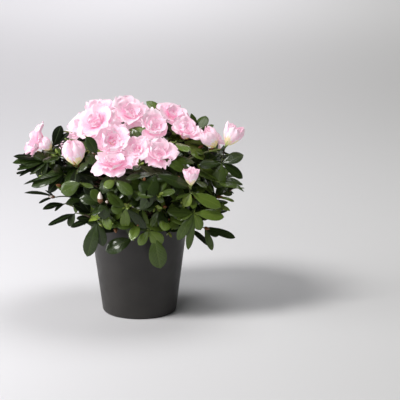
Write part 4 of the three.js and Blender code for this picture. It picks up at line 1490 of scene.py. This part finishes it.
def add_petal(sheaf, bloom, petal, stream, tints, press):
    """One petal: a grid about its midline, curled round the bloom's axis, ruffled to its edges."""
    out, height, angle, half, wrap = (
        each[:, None] for each in (petal.out, petal.rise, petal.angle, petal.half, petal.wrap))
    t = PETAL_SHARES[:, None]
    s = np.linspace(-1, 1, PETAL_COLUMNS)[None, :]
    bend = half * s / wrap
    aside = wrap * np.sin(bend)
    inward = wrap * (1 - np.cos(bend))
    a, b, c = (TURN * stream.draw() for _ in range(3))
    waves = np.sin(CRINKLE_WAVES[0] * s + CRINKLE_WAVES[1] * t + a)
    crinkle = np.abs(s) ** CRINKLE_RISE * t**CRINKLE_RISE * waves
    frill = t**4 * np.sin(FRILL_WAVES * s + b) * FRILL_DEPTH
    fold = -np.exp(-((s / FOLD_WIDTH) ** 2)) * t * FOLD_DEPTH
    twist = math.tan(stream.between(-PETAL_TWIST, PETAL_TWIST)) * aside * t
    lift = inward + bloom.radius * petal.ruffle * (crinkle + frill + fold) + twist
    shorten = 1 - EDGE_SHORTER * s**2 * t + EDGE_WAVE_DEPTH * np.sin(EDGE_WAVES * s + c) * t**3
    radius = out * shorten - np.cos(angle) * lift
    rise = height * shorten + np.sin(angle) * lift
    x = radius * math.cos(petal.turn) - aside * math.sin(petal.turn)
    y = radius * math.sin(petal.turn) + aside * math.cos(petal.turn)
    side, over = frame_about(bloom.axis)
    grid = bloom.centre + x[:, :, None] * side - y[:, :, None] * over + rise[:, :, None] * bloom.axis
    add_sheet(sheaf, press(grid), *tints)


def press_for(bloom, blooms):
    """How a bloom's petals give way to its neighbours: points near the border are pressed back."""
    near = []
    for other in blooms:
        gap = other.centre - bloom.centre
        span, both = norm(gap), bloom.radius + other.radius
        if other is not bloom and span < NEAR * both:
            near.append((gap / span, span * bloom.radius / both + PETAL_OVERLAP))

    def press(grid):
        for way, border in near:
            room = border - (grid - bloom.centre) @ way
            eased = PRESS_DEPTH * np.exp((room - PRESS_DEPTH) / PRESS_DEPTH)
            grid = grid + np.where(room < PRESS_DEPTH, room - eased, 0)[:, :, None] * way
        return np.clip(grid, cad_low, cad_high)

    return press


def open_petal(bloom, layer, index, stream):
    """A petal of a bloom: its midline, bending outwards, its half width and the round it wraps."""
    length = layer["length"] * bloom.radius * stream.between(*PETAL_LENGTHS)
    first = layer["start"] * bloom.open + stream.between(-0.5, 0.5) * PETAL_DISORDER
    final = layer["end"] * bloom.open + stream.between(-1, 1) * PETAL_DISORDER
    angle = np.radians(first + (final - first) * PETAL_SHARES)
    step = length / (PETAL_ROWS - 1)
    out, rise = (np.concatenate([[0], np.cumsum(f(angle[:-1]) * step)]) for f in (np.sin, np.cos))
    out = BLOOM_HEART * bloom.radius + out
    return SimpleNamespace(
        out=out,
        rise=rise - BLOOM_DEPTH * bloom.radius,
        angle=angle,
        half=layer["width"] * bloom.radius * petal_width(PETAL_SHARES) * stream.between(*PETAL_HALVES),
        wrap=layer["wrap"] * (WRAP_CORE * bloom.radius + WRAP_REACH * np.abs(out)),
        place=BLOOM_STAGGER * (index % 2) + BLOOM_SWAY * (stream.draw() - 0.5),
        ruffle=layer["ruffle"],
    )


def cupped_petal(bloom, layer, index, stream):
    """A petal of a bud or half open bloom, which follows the bud's outline."""
    mouth = bloom.open * stream.between(*BUD_MOUTHS)
    swell = np.interp(PETAL_SHARES, BUD_SHARES, BUD_SHUT + BUD_OPENING * mouth)
    out = BUD_RADIUS * bloom.size * layer["swell"] * swell
    up = layer["reach"] * PETAL_SHARES * stream.between(*BUD_REACHES)
    rise = bloom.half - BUD_BODY * BUD_LENGTH * bloom.size * (1 - up)
    return SimpleNamespace(
        out=out,
        rise=rise,
        angle=np.arctan2(np.gradient(out), np.gradient(rise)),
        half=out * math.radians(layer["spread"]) * petal_width(PETAL_SHARES) * BUD_OVERLAP,
        wrap=np.maximum(out, BUD_CORE * BUD_RADIUS * bloom.size),
        place=BUD_STAGGER * index + BUD_SWAY * stream.draw(),
        ruffle=BUD_RUFFLE + OPEN_RUFFLE * bloom.open,
    )


def add_flower(sheaf, bloom, blooms):
    """A double bloom or a bud: layers of petals, deeper in colour towards the heart."""
    stream = Stream(bloom.seed * 31 + 7)
    press = press_for(bloom, blooms)
    start = stream.draw() * TURN
    shape = open_petal if bloom.kind == "bloom" else cupped_petal
    for index, layer in enumerate(bloom.form.layers):
        for k in range(layer["count"]):
            petal = shape(bloom, layer, index, stream)
            petal.turn = start + TURN * (k + petal.place) / layer["count"]
            tints = petal_tints(stream, layer["flush"], bloom.form.cream)
            add_petal(sheaf, bloom, petal, stream, tints, press)


def add_foot(sheaves, bloom):
    """What carries a bloom: its stalk, its green cup and the rusty scales round it."""
    stream = Stream(bloom.seed * 41 + 11)
    top = bloom.centre + bloom.axis * bloom.half * (bloom.form.cup + CUP_SHARE)
    stalk, green = TWIG_PLACES["stalk_green"], TWIG_PLACES["twig_green"]
    shaft(sheaves["twigs"], bloom.tip - bloom.axis * STALK_SINK, top - bloom.tip, STALK_FORM,
          max(bloom.size, LEAST_STALK), SMALL_SIDES, [green, green, stalk])
    for k in range(0 if bloom.bare else FOOT_SCALES):
        spin = TURN * k / FOOT_SCALES + stream.draw()
        tints = RUSTY if stream.draw() < RUST_SHARE else STRAWY
        lean, length = stream.between(*FOOT_LEANS), stream.between(*FOOT_LENGTHS) * MM
        add_small_leaf(sheaves, FOOT_SCALE, bloom, spin, lean, length, FOOT_SCALE_WIDTH, *tints)


# Pot, soil, trunk and boughs


def add_piece(sheaf, name, looks, replaced):
    """Makes a piece of the plant, all of which is one body, in place of the solids named."""
    piece = sheaf.build(name, looks)
    if replaced:
        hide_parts(*replaced)
    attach(piece, "root")


def arc(out, height, radius, start):
    """A quarter of a round about a centre, as points of a profile."""
    angles = start + np.linspace(0, math.pi / 2, ARC_STEPS)
    return [(out + radius * math.cos(a), height + radius * math.sin(a)) for a in angles]


def make_pot():
    sheaf = Sheaf()
    foot = arc(wall_radius(FOOT_ROUNDING) - FOOT_ROUNDING, FOOT_ROUNDING, FOOT_ROUNDING, -math.pi / 2)
    rim = arc(RIM_RADIUS - RIM_ROUNDING, POT_HEIGHT - RIM_ROUNDING, RIM_ROUNDING, 0)
    lip = arc(RIM_RADIUS - WALL + RIM_ROUNDING, POT_HEIGHT - RIM_ROUNDING, RIM_ROUNDING, math.pi / 2)
    walls = [(wall_radius(h), h) for h in np.linspace(FOOT_ROUNDING, RIM_START, OUTSIDE_STEPS)[1:]]
    inner = [(wall_radius(h) - WALL, h) for h in np.linspace(RIM_START, FLOOR, INSIDE_STEPS)]
    turned(sheaf, [(0, 0), *foot, *walls, *rim, *lip, *inner, (0, FLOOR)], POT_SEGMENTS)
    add_piece(sheaf, "pot_shell", [skin("pot_satin", **POT_SKIN)], ["pot"])


def lumps(points, scale, seed):
    """Fractal relief from -1 to 1 at each point of an array."""
    offset = Vector((seed, 0, 0))
    values = [noise.fractal(Vector(p) * scale + offset, *SOIL_FRACTAL) for p in points.reshape(-1, 3)]
    return np.array(values).reshape(points.shape[:-1])


def soil_relief(rings):
    """How much higher or lower the soil is at each point, apart from its underside and its edge."""
    fade = np.clip(np.arange(len(rings)) - 1, 0, 1)[:, None]
    return fade * SOIL_RELIEF * sum(share * lumps(rings, scale, seed) for scale, seed, share in SOIL_LUMPS)


def soil_height(out):
    """The soil's smooth top: level at the wall, heaped in a low dome at the middle."""
    return SOIL_TOP + SOIL_DOME * np.clip(1 - (out / wall_radius(SOIL_TOP)) ** 2, 0, 1)


def make_soil():
    sheaf = Sheaf()
    edge = wall_radius(SOIL_TOP) - WALL - GAP
    top = [(out, soil_height(out)) for out in np.linspace(edge, 0, SOIL_RINGS, endpoint=False)]
    base = FLOOR + GAP
    profile = [(0, base), (wall_radius(FLOOR) - WALL - GAP, base), *top, (0, SOIL_TOP + SOIL_DOME)]
    turned(sheaf, profile, SOIL_SEGMENTS, soil_relief)
    add_piece(sheaf, "potting_soil", [skin("soil_crumbly", **SOIL_SKIN)], ["soil"])

    crumbs = Sheaf()
    stream = Stream(CRUMB_SEED)
    for _ in range(CRUMBS):
        out = edge * math.sqrt(stream.draw()) * CRUMB_REACH
        turn = stream.draw() * TURN
        size = CRUMB_RADIUS * stream.between(*CRUMB_SIZES)
        at = np.array([out * math.cos(turn), out * math.sin(turn), soil_height(out) + size * CRUMB_RISE])
        lean = aim(stream.between(0, 360), stream.between(-CRUMB_TILT, CRUMB_TILT)) * size
        shaft(crumbs, at, lean, CRUMB_FORM, size * stream.between(*CRUMB_GIRTHS), CRUMB_SIDES,
              int(stream.draw() * len(CRUMB_TINTS)))
    looks = [skin(name, colour, **CRUMB_SKIN) for name, colour in CRUMB_TINTS.items()]
    add_piece(crumbs, "soil_crumbs", looks, [])


def add_limb(sheaf, points, radii, sides, seed):
    """A barked limb, with long ridges and fissures as shares of its own radius."""
    relief = np.ones((len(points), sides))
    for k, a in enumerate(bearings(sides)):
        x, y = BARK_ROUND * math.cos(a) + seed, BARK_ROUND * math.sin(a)
        for i in range(len(points)):
            relief[i, k] += BARK_RELIEF * noise.fractal(Vector((x, y, i * BARK_ALONG)), *BARK_FRACTAL)
    tube(sheaf, points, radii, sides, 0, relief)


def make_limbs(masses):
    trunk, boughs = Sheaf(), Sheaf()
    shares = np.linspace(0, 1, TRUNK_RINGS)
    points = np.array([trunk_point(share) for share in shares])
    points[:STRAIGHT_RINGS, :2] = points[0, :2]
    add_limb(trunk, points, [trunk_radius(share) for share in shares], TRUNK_SIDES, TRUNK_SEED)
    for mass in masses:
        way = bough_way(mass, BOUGH_STEPS)
        add_limb(boughs, way, np.linspace(BOUGH_RADIUS, STEM_RADIUS, len(way)), BOUGH_SIDES,
                 BOUGH_SEED + mass.seed)
        stem = np.linspace(mass.hub, mass.hub + mass.bough_end * STEM_LENGTH, STEM_RINGS)
        add_limb(boughs, stem, np.full(STEM_RINGS, STEM_RADIUS * STEM_WITHIN), BOUGH_SIDES,
                 STEM_SEED + mass.seed)
    look = skin("bark_brown", **BARK_SKIN)
    add_piece(trunk, "trunk_bark", [look], ["trunk"])
    add_piece(boughs, "bough_bark", [look], nodes_named("", "_bough"))


def nodes_named(start, end):
    return [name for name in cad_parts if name.startswith(start) and name.endswith(end)]


# Stage


def make_stage():
    sheaf = Sheaf()
    a = bearings(FLOOR_SEGMENTS)
    ring = FLOOR_RADIUS * np.stack([np.cos(a), np.sin(a), 0 * a], 1)
    k = np.arange(FLOOR_SEGMENTS)
    spokes = np.stack([k, (k + 1) % FLOOR_SEGMENTS, np.full(FLOOR_SEGMENTS, FLOOR_SEGMENTS)], 1)
    sheaf.add(np.concatenate([ring, [[0, 0, 0]]]), [], 0, spokes)
    look = new_material("floor_painted_falloff", FLOOR_LIT_LEFT, 0.7, Specular_IOR_Level=0.15)
    # Painted shade: the floor's colour fades from pale on the left to grey on the right.
    inputs = {0: object_place(look), 1: FLOOR_PAINTED_FALLOFF_WAY}
    across = node(look, "ShaderNodeVectorMath", inputs, operation="DOT_PRODUCT")["Value"]
    inputs = {"Value": across, "From Min": FLOOR_PAINTED_FALLOFF[0], "From Max": FLOOR_PAINTED_FALLOFF[1]}
    painted_falloff = node(look, "ShaderNodeMapRange", inputs, interpolation_type="SMOOTHSTEP")
    add_tones(look, painted_falloff["Result"], FLOOR_LIT_LEFT, FLOOR_SHADED_RIGHT, (0, 1))
    sheaf.build("floor", [look])


def aimed(name, data, place_at, way):
    """A light or camera at a place, looking along a way."""
    made = bpy.data.objects.new(name, data)
    made.location = place_at
    made.rotation_mode = "QUATERNION"
    made.rotation_quaternion = Vector(way).to_track_quat("-Z", "Y")
    bpy.context.scene.collection.objects.link(made)
    return made


def make_lights():
    world = bpy.data.worlds.new("studio")
    world.use_nodes = True
    back = world.node_tree.nodes["Background"]
    back.inputs["Color"].default_value = (*WORLD_COLOUR, 1)
    back.inputs["Strength"].default_value = WORLD_STRENGTH
    bpy.context.scene.world = world
    key = bpy.data.lights.new("key", "SUN")
    key.energy = KEY_STRENGTH
    key.angle = math.radians(KEY_SOFTNESS)
    key.color = KEY_COLOUR
    aimed("key", key, (0, 0, 0), -aim(*KEY_FROM))
    for name, place_at, target, size, energy in SOFT_BOXES:
        data = bpy.data.lights.new(name, "AREA")
        data.shape = "DISK"
        data.size = size
        data.energy = energy
        light = aimed(name, data, place_at, Vector(target) - Vector(place_at))
        light.visible_camera = False
    bpy.context.scene.view_settings.view_transform = "Standard"


def make_camera():
    data = bpy.data.cameras.new("camera")
    data.lens = CAMERA_LENS
    data.sensor_width = 36
    data.clip_end = 60
    camera = aimed("camera", data, CAMERA_PLACE, Vector(CAMERA_TARGET) - Vector(CAMERA_PLACE))
    bpy.context.scene.camera = camera


make_camera()
make_lights()
make_stage()

masses = lay_out_masses()
blooms = deal_out_blooms(masses)
make_pot()
make_soil()
make_limbs(masses)

sheaves = {f"leaves_{tier['name']}": Sheaf() for tier in TIERS}
sheaves.update({name: Sheaf() for name in ("young_leaves", "twigs", "blooms_front", "blooms_back")})
sprays = [cut_back(spray) for spray in main_sprays(masses)]
shown = shown_sprays(masses, sprays)
blooms += [spray.bloom for spray in shown if spray.bloom]
room = Room(blooms)
for spray in shown:
    grow_shown(spray, room, sheaves)
thinning = Stream(OPEN_SEED)
sprays += [spray for spray in side_sprays(sprays, shown, blooms) if not kept_back(spray, room, thinning)]
# Leaves keep clear of the first two thirds of every twig
for spray in sprays:
    room.fill(spray.way[: len(spray.way) * 2 // 3])
for spray in sprays:
    grow_whorl(spray, room, sheaves)
for spray in sprays + shown:
    add_twig(sheaves["twigs"], spray)
for bloom in blooms:
    add_flower(sheaves["blooms_front" if bloom.centre[1] < FRONT_LIMIT else "blooms_back"], bloom, blooms)
    add_foot(sheaves, bloom)

leaf_looks = [leaf_material(name, colour) for name, colour in LEAF_TINTS.items()]
twig_looks = [skin(name, colour, **TWIG_SKIN) for name, colour in TWIG_TINTS.items()]
petal_looks = [petal_material(name, colour) for name, colour in PETAL_TINTS.items()]
looks_of = dict(twigs=twig_looks, blooms_front=petal_looks, blooms_back=petal_looks)
for name, sheaf in sheaves.items():
    replaced = nodes_named(name.removeprefix("leaves_"), "_foliage")
    add_piece(sheaf, name, looks_of.get(name, leaf_looks), replaced)
